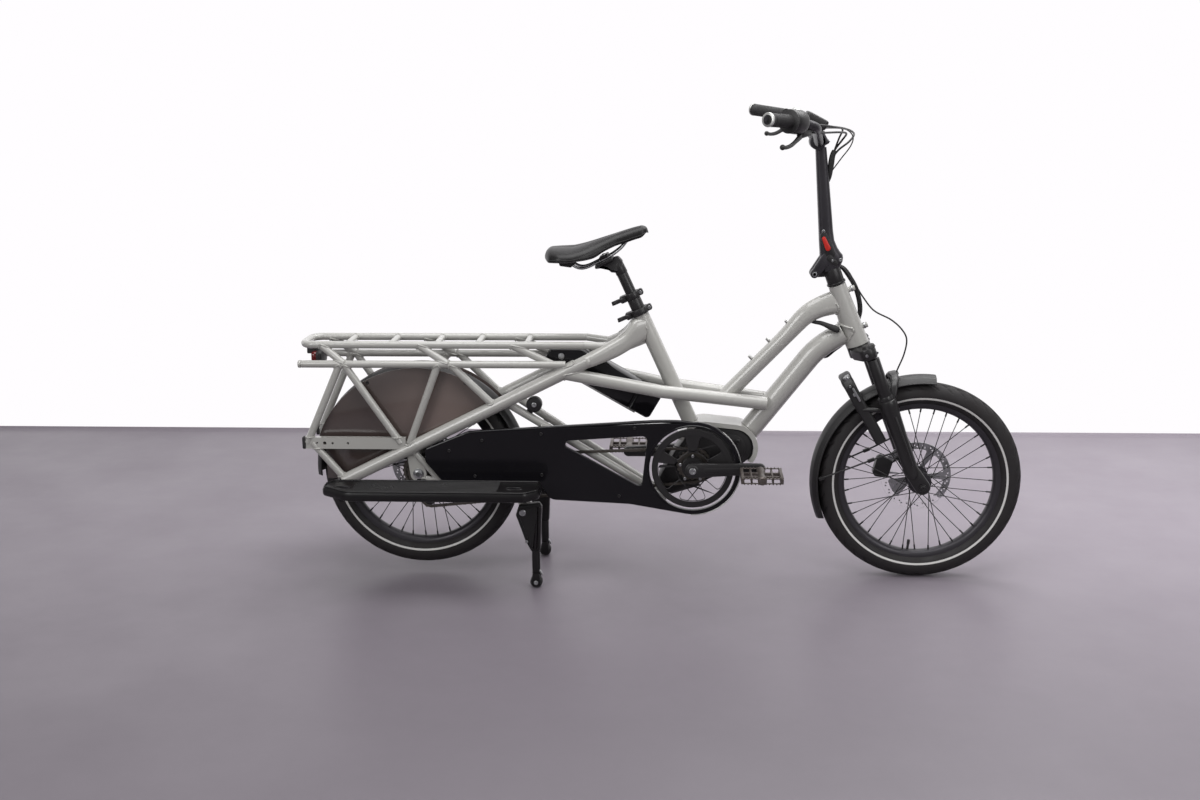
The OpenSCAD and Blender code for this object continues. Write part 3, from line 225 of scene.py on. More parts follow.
def quads(n, m, wrap_u=False, wrap_v=False):
    """Four-cornered faces between neighbours of an n by m grid; a wrapped way joins its end to its start."""
    u, v = np.meshgrid(np.arange(n if wrap_u else n - 1), np.arange(m if wrap_v else m - 1), indexing="ij")
    u2, v2 = (u + 1) % n, (v + 1) % m
    return np.stack([u * m + v, u2 * m + v, u2 * m + v2, u * m + v2], -1).reshape(-1, 4)


bend = np.linspace(0, math.pi / 2, 9)
cove = np.column_stack([WALL_Y - COVE_R + COVE_R * np.sin(bend), COVE_R - COVE_R * np.cos(bend)])
run = np.vstack([[[-ROOM_HALF, 0.0]], cove, [[WALL_Y, WALL_TOP]]])
room_points = np.column_stack([np.tile([-ROOM_HALF, ROOM_HALF], len(run)), np.repeat(run, 2, 0)])
room_faces = quads(len(run), 2)
room = object_from("studio_floor", room_points, room_faces[:, ::-1].tolist(), floor_paint)
room.data.materials.append(wall_paint)
on_wall = np.arange(len(room_faces)) > len(bend) // 2
room.data.polygons.foreach_set("material_index", on_wall.astype(np.int32))
print("room faces:", len(room_faces), "of which wall:", on_wall.sum())

# %% [markdown]
# ## Light
# A photographer lights a bike with wide panels, because a small lamp would give each tube a hard spark. A
# panel gives it a long soft highlight. Four panels look at the bike from above, from both front sides and
# from behind, and the world fills the shadows.

# %% Lamps
LAMPS = [("overhead", (0.1, -0.6, 3.1), (0.0, 0.0, 0.3), 3.0, 2.2, 84.0),
         ("front_left", (-2.6, -3.2, 2.3), (0.0, 0.0, 0.45), 1.8, 1.8, 50.0),
         ("front_right", (2.7, -3.0, 2.2), (0.0, 0.0, 0.45), 1.8, 1.8, 38.0),
         ("behind", (0.9, 1.1, 2.6), (0.5, 0.3, 0.2), 3.0, 0.8, 48.0)]
AIR_GLOW = 0.34
AHEAD, ACROSS, UP = np.eye(3)
RIGHT = np.array([0.0, -1.0, 0.0])


def unit(v):
    """A vector, or each row of an array of them, made one long."""
    v = np.asarray(v, float)
    return v / np.maximum(np.linalg.norm(v, axis=-1, keepdims=True), 1e-9)


for name, place, target, size_x, size_y, power in LAMPS:
    lamp = bpy.data.lights.new(name, "AREA")
    lamp.shape, lamp.size, lamp.size_y, lamp.energy = "RECTANGLE", size_x, size_y, power
    holder = bpy.data.objects.new(name, lamp)
    away = unit(np.subtract(place, target))
    side = unit(np.cross(UP, away))
    facing = np.column_stack([side, np.cross(away, side), away])
    holder.matrix_world = Matrix.Translation(place) @ Matrix(facing.tolist()).to_4x4()
    bpy.context.scene.collection.objects.link(holder)
world = bpy.data.worlds.new("studio_air")
world.use_nodes = True
world.node_tree.nodes["Background"].inputs[0].default_value = tint("#f4f2f6")
world.node_tree.nodes["Background"].inputs[1].default_value = AIR_GLOW
bpy.context.scene.world = world
bpy.context.scene.view_settings.view_transform = "Standard"
print("lamps:", len(LAMPS))

# %% [markdown]
# ## Finishes
# Each finish starts from the real stuff. The frame is welded aluminium under satin enamel, so it has soft
# highlights and almost no grain. Fork, post and bar are anodised or powder coated black. The chain guard
# is polished moulding, the mudguards are grained moulding, and the tyres are rubber with a dusty bloom.

# %% Paints and coatings
enamel = finish("satin_enamel_on_aluminium", "#a6a5a1", 0.28, mottle=("#9e9d98", 160.0, 0.7),
                bump=(1.6, 0.008), Coat_Weight=0.7, Coat_Roughness=0.05)
weld_enamel = finish("enamelled_weld_bead", "#a2a19d", 0.3, mottle=("#96958f", 60.0, 0.8), bump=(1.2, 0.02),
                     Coat_Weight=0.6, Coat_Roughness=0.08)
powder = finish("black_powder_coat", "#171617", 0.36, mottle=("#1e1c1d", 90.0, 0.7), bump=(0.7, 0.03))
scuffed_powder = finish("scuffed_black_powder_coat", "#100f10", 0.3, mottle=("#161415", 70.0, 0.7),
                        bump=(0.7, 0.02), streak=("#8a8583", 60.0, 0.045), Specular_IOR_Level=0.35)
anodised = finish("black_anodised_aluminium", "#343236", 0.36, metal=0.5, mottle=("#3d3b3f", 120.0, 0.7),
                  bump=(0.5, 0.008))
print("paints and coatings: 5")

# %% [markdown]
# ### Mouldings, rubber and metal
# A moulded part shows the texture of its mould, so a mudguard gets a raised grain and the polished guard
# only a long slow wave. Rubber is rough all over. Bare metal takes its colour from what it mirrors; oil
# and weather make it darker in patches.

# %% Mouldings, rubber and metal
grained = finish("grained_black_moulding", "#171617", 0.46, mottle=("#1e1c1d", 80.0, 0.7), bump=(0.9, 0.05))
gloss_black = finish("polished_black_abs", "#100f12", 0.14, mottle=("#151417", 220.0, 0.6),
                     bump=(14.0, 0.015), Specular_IOR_Level=0.3)
rubber = finish("dusty_tyre_rubber", "#161315", 0.68, mottle=("#211d1d", 40.0, 0.6), bump=(0.8, 0.06))
stripe = finish("reflective_tape", "#cfcecb", 0.34, mottle=("#c2c1be", 30.0, 0.6), bump=(0.6, 0.01))
soft_rubber = finish("soft_black_rubber", "#1c1b1c", 0.66, mottle=("#242223", 25.0, 0.6), bump=(0.6, 0.05))
steel = finish("zinc_plated_steel", "#b4b5b6", 0.3, metal=1.0, mottle=("#9c9d9e", 25.0, 0.7),
               bump=(0.5, 0.01))
dull_steel = finish("oiled_chain_steel", "#77736d", 0.42, metal=1.0, mottle=("#4d4741", 14.0, 0.8),
                    bump=(0.5, 0.02))
alloy = finish("bead_blasted_alloy", "#c3c3c1", 0.38, metal=1.0, mottle=("#aeaeab", 30.0, 0.6),
               bump=(0.4, 0.012))
worn_alloy = finish("weathered_pedal_alloy", "#6a6461", 0.46, metal=0.6, mottle=("#3f3530", 11.0, 0.7),
                    bump=(0.9, 0.08), streak=("#b7b2aa", 24.0, 0.05))
lens_red = finish("red_moulded_lens", "#650f10", 0.18, mottle=("#520c0d", 20.0, 0.6), bump=(2.0, 0.05),
                  Coat_Weight=0.4)
latch_red = finish("red_nylon_latch", "#c5281d", 0.4, mottle=("#ab2118", 12.0, 0.6), bump=(0.6, 0.03))
cover = finish("black_saddle_cover", "#0e0d0e", 0.36, mottle=("#141213", 50.0, 0.7), bump=(1.1, 0.02),
               Specular_IOR_Level=0.34)
print("finishes so far:", len(bpy.data.materials))

# %% [markdown]
# ### Smoked panels, glass and cable jackets
# The smoked panel beside the rear wheel lets some light through, most near its middle. Clear plastic
# would show every spoke, which the eye hardly sees on the bike, so the panel stays solid and a soft round
# glow is painted into its colour: painted light that stands in for the light shining through it.

# %% Smoked panels, glass and jackets
GLOW_PLACE, GLOW_REACH, GLOW_CORE, GLOW_SHARE = (-0.566, -0.06, 0.43), 0.2, 0.02, 0.5

smoked = finish("smoked_polycarbonate", "#3a3231", 0.2, mottle=("#554945", 260.0, 0.9), bump=(30.0, 0.03),
                Coat_Weight=0.6, Coat_Roughness=0.08)
smoke_tree = smoked.node_tree
smoke_base = smoke_tree.nodes["Principled BSDF"].inputs["Base Color"]
on_panel = node(smoke_tree, "TexCoord").outputs["Object"]
# painted light: the colour is lifted round GLOW_PLACE to stand in for light shining through the panel
far = node(smoke_tree, "VectorMath", {"operation": "DISTANCE"}, i0=on_panel, i1=GLOW_PLACE)
glow = node(smoke_tree, "MapRange", {"interpolation_type": "SMOOTHSTEP"}, i0=far.outputs["Value"],
            i1=GLOW_REACH, i2=GLOW_CORE, i3=0.0, i4=GLOW_SHARE)
painted_backlight = blended(smoke_tree, glow.outputs[0], smoke_base.links[0].from_socket, tint("#84756f"))
smoke_tree.links.new(painted_backlight, smoke_base)
glass = finish("dark_display_glass", "#0b0c0e", 0.08, mottle=("#101114", 40.0, 0.6), bump=(20.0, 0.005))
hose = finish("black_cable_jacket", "#151415", 0.45, mottle=("#1d1c1d", 20.0, 0.6), bump=(0.8, 0.02))

# %% [markdown]
# ### Finishes on the CAD's own pieces
# The tubes of the frame keep the CAD's own meshes, because a welded tube is already exact there. They
# only need a finish. The rest gets one too, so that a piece which isn't made anew below still looks
# right.

# %% Finishes on the nodes
NODE_FINISH = {
    enamel: ["head_tube", "top_tube", "down_tube", "seat_tube", "motor_shell", "mid_tubes", "long_stays",
             "truss_right", "truss_left", "side_rails", "rack_deck", "lower_stays"],
    grained: ["motor", "rear_mudguard", "front_mudguard", "ring_lock", "bar_controls"],
    gloss_black: ["chain_guard", "battery"],
    scuffed_powder: ["stand_legs", "footboard_right", "footboard_left", "footboard_brackets"],
    powder: ["battery_pads", "derailleur", "rear_brake", "front_brake", "crank_arms", "guard_ring",
             "seat_post", "fork_crown", "fork_legs", "handlepost", "rear_spokes", "front_spokes"],
    anodised: ["handlebar", "rear_rim", "front_rim", "rear_hub", "front_hub"],
    rubber: ["rear_tyre", "front_tyre"],
    soft_rubber: ["grips", "stand_rollers", "tube_plugs"],
    steel: ["rear_axle", "rear_rotor", "front_rotor", "saddle_rails"],
    dull_steel: ["chain"],
    worn_alloy: ["pedal_right", "pedal_left"],
    smoked: ["wheel_guards"],
    lens_red: ["tail_light"],
    cover: ["saddle"],
}
for material, names in NODE_FINISH.items():
    for name in names:
        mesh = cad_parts[name].data
        mesh.materials.clear()
        mesh.materials.append(material)
print("nodes with a finish:", sum(map(len, NODE_FINISH.values())))

# %% [markdown]
# ## Shapes from arrays
# Every new piece is a grid of points worked out at once with numpy. Its faces join neighbours in the
# grid, and they must look outwards, or the light falls on them from the wrong side. The sign of the
# volume that they enclose tells which way they look. Most of the bike is the same on both sides, so a
# mirror saves half the work.

# %% Places, skins and mirrors
MM = 0.001
MID_X = 626.0
REAR_C, FRONT_C, CRANK_C = np.array([0.0, 284.5]), np.array([1289.0, 260.0]), np.array([707.0, 309.0])
WHEELS = (("rear", REAR_C), ("front", FRONT_C))


def row(points):
    """Bike millimetres to the CAD's metres: x moves back by the middle of the box, then all shrinks."""
    return (np.asarray(points, float) - [MID_X, 0.0, 0.0]) * MM


def skin(grid, wrap_u=False, wrap_v=True, caps=False):
    """Points and faces of a grid; caps close its first and last lines; faces turn outwards by the sign of
    the volume that they enclose (the sum of the small pyramids to the middle)."""
    n, m = grid.shape[:2]
    points = grid.reshape(-1, 3)
    faces = quads(n, m, wrap_u, wrap_v)
    a, b, c, d = (points[faces[:, k]] - points.mean(0) for k in range(4))
    volume = (a * np.cross(b, c)).sum() + (a * np.cross(c, d)).sum()
    faces = faces.tolist()
    if caps:
        faces += [list(range(m)), list(range(n * m - 1, (n - 1) * m - 1, -1))]
    if volume < 0:
        faces = [f[::-1] for f in faces]
    return points, faces


def mirrored(shapes):
    """Shapes on the bike's other side: y changes sign and the faces turn round."""
    return [(p * [1, -1, 1], [g[::-1] for g in f]) for p, f in shapes]


def both(*shapes):
    """Each shape and its mirror across the bike's middle."""
    return [s for shape in shapes for s in (shape, *mirrored([shape]))]


print("wheelbase in mm:", FRONT_C[0] - REAR_C[0])

# %% [markdown]
# ### Paths and sweeps
# Bars, cables and beads are all one idea: a *sweep* carries a small outline along a path. Blender's
# curves can do this too, but an array lets the size change by a formula on the way, for a grip's ribs or
# a leg's flare.

# %% Paths and sweeps


def around(a):
    """Places on a circle of radius 1 at the angles a: their cosine and sine, side by side."""
    return np.column_stack([np.cos(a), np.sin(a)])


def circle(r, k=16):
    """k points on a circle of radius r."""
    return r * around(np.linspace(0, 2 * np.pi, k, endpoint=False))


def distances(line):
    """How far along a line each of its points is: the running sum of its steps."""
    return np.concatenate([[0], np.cumsum(np.linalg.norm(np.diff(line, axis=0), axis=1))])


def spaced(line, n, endpoint=True):
    """n points at even distances along a line; a loop leaves out the end, which is its start again."""
    far = distances(line)
    even = np.linspace(0, far[-1], n, endpoint=endpoint)
    return np.column_stack([np.interp(even, far, line[:, j]) for j in range(line.shape[1])])


def smooth_path(points, n):
    """An even path of n points on the cubic through the given points (slopes are half of the neighbours'
    difference)."""
    p = np.asarray(points, float)
    m = np.gradient(p, axis=0)
    t = np.linspace(0, len(p) - 1, 24 * len(p))
    k = np.minimum(t.astype(int), len(p) - 2)
    s = (t - k)[:, None]
    dense = ((1 + 2 * s) * (1 - s) ** 2 * p[k] + s * (1 - s) ** 2 * m[k]
             + s ** 2 * (3 - 2 * s) * p[k + 1] - s ** 2 * (1 - s) * m[k + 1])
    return spaced(dense, n)


def across_of(axis):
    """A direction that is well clear of an axis: the world axis that it follows least."""
    return np.eye(3)[np.abs(np.asarray(axis, float)).argmin()]


def sweep(path, outline, up, grow=None, closed=False):
    """An outline carried along a path: at each point it lies in the plane across the path, its second axis
    as near as it can be to 'up'. grow scales it along the way."""
    path, outline = np.asarray(path, float), np.asarray(outline, float)
    along = unit(np.roll(path, -1, 0) - np.roll(path, 1, 0)) if closed else unit(np.gradient(path, axis=0))
    up = np.broadcast_to(np.asarray(up, float), path.shape)
    top = unit(up - (up * along).sum(1, keepdims=True) * along)
    side = np.cross(along, top)
    size = np.ones(len(path)) if grow is None else np.asarray(grow, float)
    grid = (path[:, None] + size[:, None, None] * (outline[None, :, :1] * side[:, None]
            + outline[None, :, 1:] * top[:, None]))
    return skin(grid, wrap_u=closed, caps=not closed)


def rod(p, q, r, r2=None, k=20, edge=0.8):
    """A straight round bar from p to q with slightly rounded ends."""
    p, q = np.asarray(p, float), np.asarray(q, float)
    axis = q - p
    length = np.linalg.norm(axis)
    r2 = r if r2 is None else r2
    e = min(edge, length / 4, r / 2, r2 / 2)
    t = np.array([0, 0.3 * e, e, length - e, length - 0.3 * e, length])
    radius = np.array([r - e, r - 0.3 * e, r, r2, r2 - 0.3 * e, r2 - e])
    return sweep(p + t[:, None] * unit(axis), circle(1.0, k), up=across_of(axis), grow=radius)


print("a rod has", len(rod([0, 0, 0], AHEAD, 1)[0]), "points")

# %% [markdown]
# ### Outlines, turned shapes and plates
# A *turned* shape spins an outline round an axle, as a lathe does, and a *plate* gives a flat outline a
# thickness. A saw leaves sharp edges, but forged and moulded parts have none, so corners become arcs and
# edges are rounded in three steps.

# %% Outlines, turned shapes and plates


def turned(outline, centre, a0=0.0, a1=360.0, n=96):
    """An outline of (radius, y) pairs spun round a wheel's axle, from angle a0 to a1 above the way ahead."""
    whole = abs(a1 - a0) >= 360
    a = np.radians(np.linspace(a0, a1, n, endpoint=not whole))[:, None]
    o = np.asarray(outline, float)
    grid = np.stack([centre[0] + o[None, :, 0] * np.cos(a), np.broadcast_to(o[None, :, 1], (n, len(o))),
                     centre[1] + o[None, :, 0] * np.sin(a)], -1)
    return skin(grid, wrap_u=whole, caps=not whole)


def rounded(corners, radii, k=7):
    """An outline with round corners: at each corner an arc of the given radius that touches both sides."""
    c = np.asarray(corners, float)
    r = np.broadcast_to(np.asarray(radii, float), (len(c),))
    back, fore = unit(np.roll(c, 1, 0) - c), unit(np.roll(c, -1, 0) - c)
    half = np.arccos(np.clip((back * fore).sum(1), -1, 1)) / 2
    middle = c + unit(back + fore) * (r / np.sin(half))[:, None]
    foot_a, foot_b = c + back * (r / np.tan(half))[:, None], c + fore * (r / np.tan(half))[:, None]
    s = np.linspace(0, 1, k)[None, :, None]
    arm = unit((foot_a - middle)[:, None] * (1 - s) + (foot_b - middle)[:, None] * s)
    return (middle[:, None] + arm * r[:, None, None]).reshape(-1, 2)


def oblong(x0, x1, z0, z1, r, k, at=(0.0, 0.0)):
    """A rectangle from x0 to x1 and z0 to z1 with round corners, k points on each, moved by 'at'."""
    return rounded(np.asarray(at) + np.array([[x0, z0], [x1, z0], [x1, z1], [x0, z1]]), r, k)


def block(half_x, half_z, r, k):
    """An oblong about its own middle."""
    return oblong(-half_x, half_x, -half_z, half_z, r, k)


def inset(outline, by):
    """An outline moved inwards: each point along the mean of its two sides' normals."""
    o = np.asarray(outline, float)
    fore, back = unit(np.roll(o, -1, 0) - o), unit(o - np.roll(o, 1, 0))
    t = unit(fore + back)
    area = (o[:, 0] * np.roll(o[:, 1], -1) - np.roll(o[:, 0], -1) * o[:, 1]).sum()
    return o + by * np.sign(area) * np.column_stack([-t[:, 1], t[:, 0]])


def edge_rings(outline, low, high, edge):
    """The outline at each level from low to high, and that level, moved inwards where the edges are round."""
    rings = [(edge, low), (0.3 * edge, low + 0.3 * edge), (0, low + edge), (0, high - edge),
             (0.3 * edge, high - 0.3 * edge), (edge, high)]
    return [(inset(outline, by), level) for by, level in rings]


def upright(outline, y):
    """A side-view outline (x, z) set at a width y."""
    return np.column_stack([outline[:, 0], np.full(len(outline), y), outline[:, 1]])


def plate(outline, y0, y1, edge=1.5):
    """A side-view outline given thickness from y0 to y1, with round edges."""
    return skin(np.stack([upright(o, y) for o, y in edge_rings(outline, y0, y1, edge)]), caps=True)


def slab(outline, origin, e1, e2, t0, t1, edge=1.5):
    """A flat outline in any plane: its axes are e1 and e2, and its thickness runs from t0 to t1 along their
    cross product, with round edges."""
    e1, e2 = unit(e1), unit(e2)
    return skin(np.stack([np.asarray(origin, float) + o[:, :1] * e1 + o[:, 1:] * e2 + t * np.cross(e1, e2)
                          for o, t in edge_rings(outline, t0, t1, edge)]), caps=True)


print("a block has", len(block(20, 10, 3, 4)), "points round it")

# %% [markdown]
# ### Screws and pieces
# A bike is held together by cap screws with six-sided sockets. At this size one grid is enough: its lines
# go up the head, over its edge and down into the socket. Several shapes together make one piece, which
# rides on a body of the CAD and so moves with its joint.

# %% Screws and pieces
SHARP = math.radians(40)


def screw(centre, axis, r, h):
    """A cap screw: a low round head with a six-sided socket, standing on 'centre' along 'axis'."""
    axis = unit(axis)
    e1 = unit(np.cross(axis, across_of(axis)))
    e2 = np.cross(axis, e1)
    a = np.linspace(0, 2 * np.pi, 24, endpoint=False)
    hexagon = 0.5 * np.cos(np.pi / 6) / np.cos((a % (np.pi / 3)) - np.pi / 6)
    rows = [(np.ones(24), 0.0), (np.ones(24), 0.75), (np.full(24, 0.86), 1.0), (hexagon * 1.12, 1.0),
            (hexagon, 0.9), (hexagon, 0.35)]
    spokes_out = np.cos(a)[:, None] * e1 + np.sin(a)[:, None] * e2
    grid = np.stack([np.asarray(centre, float) + h * level * axis + r * s[:, None] * spokes_out
                     for s, level in rows])
    return skin(grid, caps=True)


def piece(name, shapes, material, body, stands_for=()):
    """One object from several shapes, in the CAD's frame, riding on a body."""
    count, points, faces = 0, [], []
    for p, f in shapes:
        points.append(p)
        faces += [[i + count for i in g] for g in f]
        count += len(p)
    obj = object_from(name, row(np.concatenate(points)), faces, material)
    obj.data.set_sharp_from_angle(angle=SHARP)
    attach(obj, body)
    if stands_for:
        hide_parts(*stands_for)
    print(f"{name}: {count} points on {body}")
    return obj


print("a screw has", len(screw([0, 0, 0], UP, 4, 3)[0]), "points")

# %% [markdown]
# ## Tyres and rims
# A 62 mm tyre is a torus that is open at the rim, with blocks of tread on its crown. It could be
# sculpted, but a formula is exact: the section is a circle, and grooves lower it where a chevron pattern
# says so. The white ring is reflective tape on the sidewall, a separate thin band. The rim is a turned
# hollow section.

# %% Tyres, stripes and rims
TYRE_R, SECTION_R = 260.0, 29.5
MIDDLE_R = TYRE_R - SECTION_R
TREAD_PITCHES, GROOVE_MM, TREAD_GAP = 44, 1.9, 0.4
TAPE_OUT, TAPE_IN = 29.9, 29.0
RIM = np.array([[189.5, 0.0], [190, 6], [191.5, 10], [196, 15], [203, 16.8], [211.5, 17], [212.8, 16.2],
                [212.8, 14.4], [207, 13.8], [205.5, 8.0], [205.5, 0.0]])
rim_loop = np.vstack([RIM, RIM[-2:0:-1] * [1, -1]])


def tyre(centre):
    """Section angle s from -151 to 151 degrees; radius = middle + section * cos s, width = section * sin s.
    A groove takes depth off where the chevron phase (turns * pitches + slant * |s|) is in its first fifth."""
    s = np.radians(np.concatenate([np.linspace(-151, -66, 13), np.linspace(-62, 62, 41),
                                   np.linspace(66, 151, 13)]))
    a = np.linspace(0, 2 * np.pi, TREAD_PITCHES * 14, endpoint=False)[:, None]
    phase = (a / (2 * np.pi) * TREAD_PITCHES + 1.1 * np.abs(s)[None]) % 1.0
    across = np.abs(np.degrees(s))[None]
    groove = ((phase < 0.2) & (across < 60) & (across > 9)) | ((np.abs(across - 22) < 2.6) & (phase > 0.5))
    ridge = 0.5 * np.exp(-((across - 96) / 2.5) ** 2) + 0.6 * np.exp(-((across - 124) / 2.5) ** 2)
    size = SECTION_R - GROOVE_MM * groove + ridge * (across > 70)
    r = MIDDLE_R + size * np.cos(s) - TREAD_GAP
    y = size * np.sin(s)
    grid = np.stack([centre[0] + r * np.cos(a), np.broadcast_to(y, r.shape), centre[1] + r * np.sin(a)], -1)
    return skin(grid, wrap_u=True, wrap_v=True)


def tape(centre):
    """A ring 5 mm wide lying 0.4 mm off the sidewall, on both sides."""
    s = np.radians(np.linspace(103.5, 113.5, 6))
    outer, inner = ([MIDDLE_R, 0.0] + r * around(s) for r in (TAPE_OUT, TAPE_IN))
    return both(turned(np.vstack([outer, inner[::-1]]), centre, n=160))


for end, centre in WHEELS:
    piece(f"{end}_tread", [tyre(centre)], rubber, f"{end}_wheel", [f"{end}_tyre"])
    piece(f"{end}_reflective_ring", tape(centre), stripe, f"{end}_wheel")
    piece(f"{end}_double_wall_rim", [turned(rim_loop, centre, n=144)], anodised, f"{end}_wheel",
          [f"{end}_rim"])

# %% [markdown]
# ## Spokes and hubs
# Spokes are pulled wires: each leaves a hub flange at a slant and ends in a nipple in the rim. One spoke
# could be copied round by an array modifier, but they lean in turns to either side, so all 36 are worked
# out at once, as one array of tubes whose radius steps up at the nipple. A hub is turned, so it is a
# turned shape.

# %% Spokes and hubs
SPOKES, FLANGE_Y, FLANGE_R, BED_R = 36, 27.0, 26.0, 190.0
WIRE_R, NIPPLE_R, NIPPLE_MM, WIRE_LEAN = 1.1, 2.2, 13, np.radians(52)
HUB = {"front": [[7.9, 46], [12, 46], [14.5, 44], [15, 34], [16, 31], [28.5, 29.2], [29.5, 28], [29.5, 26],
                 [28.5, 24.8], [17, 23], [14.5, 18], [13.5, 0]],
       "rear": [[6.6, 54], [12, 54], [14.5, 52], [15, 34], [17, 31], [29.5, 29.2], [30.5, 28], [30.5, 26],
                [29.5, 24.8], [21, 23], [18.5, 16], [18, 0]]}


def spokes(centre):
    """Spoke k starts at angle a + lean on a flange and ends at angle a on the rim's bed; its radius is that
    of the wire, and that of the nipple in the last 13 mm."""
    k = np.arange(SPOKES)
    side, lean = np.where(k % 2 == 0, 1, -1), np.where(k // 2 % 2 == 0, 1, -1)
    a = 2 * np.pi * k / SPOKES
    b = a + WIRE_LEAN * lean
    y0 = -side * (FLANGE_Y + 2.25 * lean)
    start = np.column_stack([FLANGE_R * np.cos(b), y0, FLANGE_R * np.sin(b)])
    end = np.column_stack([(BED_R + 1.5) * np.cos(a), -4.0 * side, (BED_R + 1.5) * np.sin(a)])
    along = unit(end - start)
    length = np.linalg.norm(end - start, axis=1)
    t = np.stack([0 * length, length - (NIPPLE_MM + 1), length - NIPPLE_MM, length], 1)
    radius = np.array([WIRE_R, WIRE_R, NIPPLE_R, NIPPLE_R])
    e1 = unit(np.cross(along, ACROSS))
    e2 = np.cross(along, e1)
    ring = circle(1.0, 8)
    grid = (start[:, None, None] + t[:, :, None, None] * along[:, None, None]
            + radius[None, :, None, None] * (ring[None, None, :, :1] * e1[:, None, None]
                                             + ring[None, None, :, 1:] * e2[:, None, None]))
    grid = grid + np.array([centre[0], 0.0, centre[1]])
    return [skin(g, caps=True) for g in grid]


for end, centre in WHEELS:
    piece(f"{end}_wire_spokes", spokes(centre), powder, f"{end}_wheel", [f"{end}_spokes"])
    half = np.array(HUB[end], float)
    shell = np.vstack([half, half[-2::-1] * [1, -1]])
    piece(f"{end}_hub_shell", [turned(shell, centre, n=64)], anodised, f"{end}_wheel",
          [f"{end}_hub"] if end == "front" else [])

# %% [markdown]
# ## Flat parts with holes
# Rotors, cogs, the crank's ring and the chain guard are stamped or moulded plates with openings. A grid
# can't easily hold several holes, so these use Blender's flat curve: it fills between its outlines, gets
# a thickness and a small round edge, and is then read back as points and faces.

# %% Cut plates


def cutout(loops, y0, y1, edge=0.6):
    """A plate between side-view outlines (x, z), from width y0 to y1. The first outline is the rim, the rest
    are holes; the round edge is taken off inside the outline."""
    flat = bpy.data.curves.new("flat", "CURVE")
    flat.dimensions, flat.fill_mode = "2D", "BOTH"
    flat.extrude, flat.bevel_depth, flat.bevel_resolution = (y1 - y0) / 2 - edge, edge, 1
    flat.offset = -edge
    for loop in loops:
        spline = flat.splines.new("POLY")
        spline.points.add(len(loop) - 1)
        places = np.column_stack([loop, np.zeros(len(loop)), np.ones(len(loop))])
        spline.points.foreach_set("co", places.ravel())
        spline.use_cyclic_u = True
    holder = bpy.data.objects.new("flat", flat)
    mesh = holder.to_mesh()
    points = np.zeros(len(mesh.vertices) * 3)
    mesh.vertices.foreach_get("co", points)
    points = points.reshape(-1, 3)
    faces = [list(p.vertices) for p in mesh.polygons]
    holder.to_mesh_clear()
    bpy.data.objects.remove(holder)
    bpy.data.curves.remove(flat)
    return np.column_stack([points[:, 0], (y0 + y1) / 2 - points[:, 2], points[:, 1]]), faces


def ring_at(centre, r, k=64):
    """A circle round a place in the side view."""
    return np.asarray(centre, float) + circle(r, k)


def slot_at(centre, angle, r0, r1, half, k=6):
    """A slot with round ends along a spoke: from radius r0 to r1 at an angle in degrees."""
    a = np.radians(angle)
    out, side = np.array([np.cos(a), np.sin(a)]), np.array([-np.sin(a), np.cos(a)])
    s = np.linspace(-np.pi / 2, np.pi / 2, k)[:, None]
    far = (r1 - half + half * np.cos(s)) * out + half * np.sin(s) * side
    near = (r0 + half - half * np.cos(s)) * out - half * np.sin(s) * side
    return np.asarray(centre, float) + np.vstack([far, near])


def sector_at(centre, a0, a1, r0, r1, corner=4.0):
    """An opening between two spokes: the piece of a ring from angle a0 to a1, corners rounded."""
    out = around(np.radians(np.linspace(a0, a1, 9)))
    radii = np.zeros(18) + 0.01
    radii[[0, 8, 9, 17]] = corner
    return np.asarray(centre, float) + rounded(np.vstack([r1 * out, (r0 * out)[::-1]]), radii, 4)


def teeth(centre, r, count, height=3.2):
    """A cog's outline: the radius swings by half a tooth's height on a flattened wave."""
    a = np.linspace(0, 2 * np.pi, count * 8, endpoint=False)
    rr = r - height / 2 + height / 2 * np.clip(1.5 * np.cos(count * a), -1, 1)
    return np.asarray(centre, float) + rr[:, None] * around(a)


print("a cog of 17 teeth has", len(teeth(REAR_C, 34, 17)), "points round it")

# %% [markdown]
# ## Rotors and cogs
# A brake rotor is a steel disc with six spokes and rows of slots that shed water and heat; six bolts hold
# it to the hub. The cogs sit side by side on the other end of the rear hub, each a little larger than the
# last.

# %% Rotors and cogs
ROTOR_R, ROTOR_Y, ROTOR_T, ROTOR_BOLTS_R = 90.0, 36.0, 2.0, 21
COGS = [(-50.5, 34.0, 17), (-43.5, 37.0, 19), (-39.5, 42.0, 21), (-35.5, 48.0, 24)]


def spot(centre, r, a, y):
    """The place at radius r and angle a round an axle, at a width y."""
    return [centre[0] + r * math.cos(a), y, centre[1] + r * math.sin(a)]


for end, centre in WHEELS:
    holes = [sector_at(centre, 60 * k + 9, 60 * k + 51, 27, 72) for k in range(6)]
    holes += [slot_at(centre, 15 * k + 5 * j, 76.5 + 3.6 * j, 80.5 + 3.6 * j, 1.9)
              for k in range(24) for j in range(2)]
    rims = [ring_at(centre, ROTOR_R, 120), ring_at(centre, 15.3, 32)]
    shape = cutout(rims + holes, ROTOR_Y, ROTOR_Y + ROTOR_T, 0.25)
    bolts = [screw(spot(centre, ROTOR_BOLTS_R, a, ROTOR_Y + ROTOR_T), ACROSS, 3.2, 2.2)
             for a in np.radians(np.arange(6) * 60 + 30)]
    piece(f"{end}_drilled_rotor", [shape] + bolts, steel, f"{end}_wheel", [f"{end}_rotor"])
cog_shapes = [cutout([teeth(REAR_C, r, n), ring_at(REAR_C, 20.5, 40)], y, y + 2.2, 0.3) for y, r, n in COGS]
cog_shapes.append(turned([[7, -54.2], [20, -54.2], [21, -53.2], [21, -33.5], [7, -33.5]], REAR_C, n=48))
piece("rear_cogs", cog_shapes, dull_steel, "rear_wheel", ["rear_hub"])

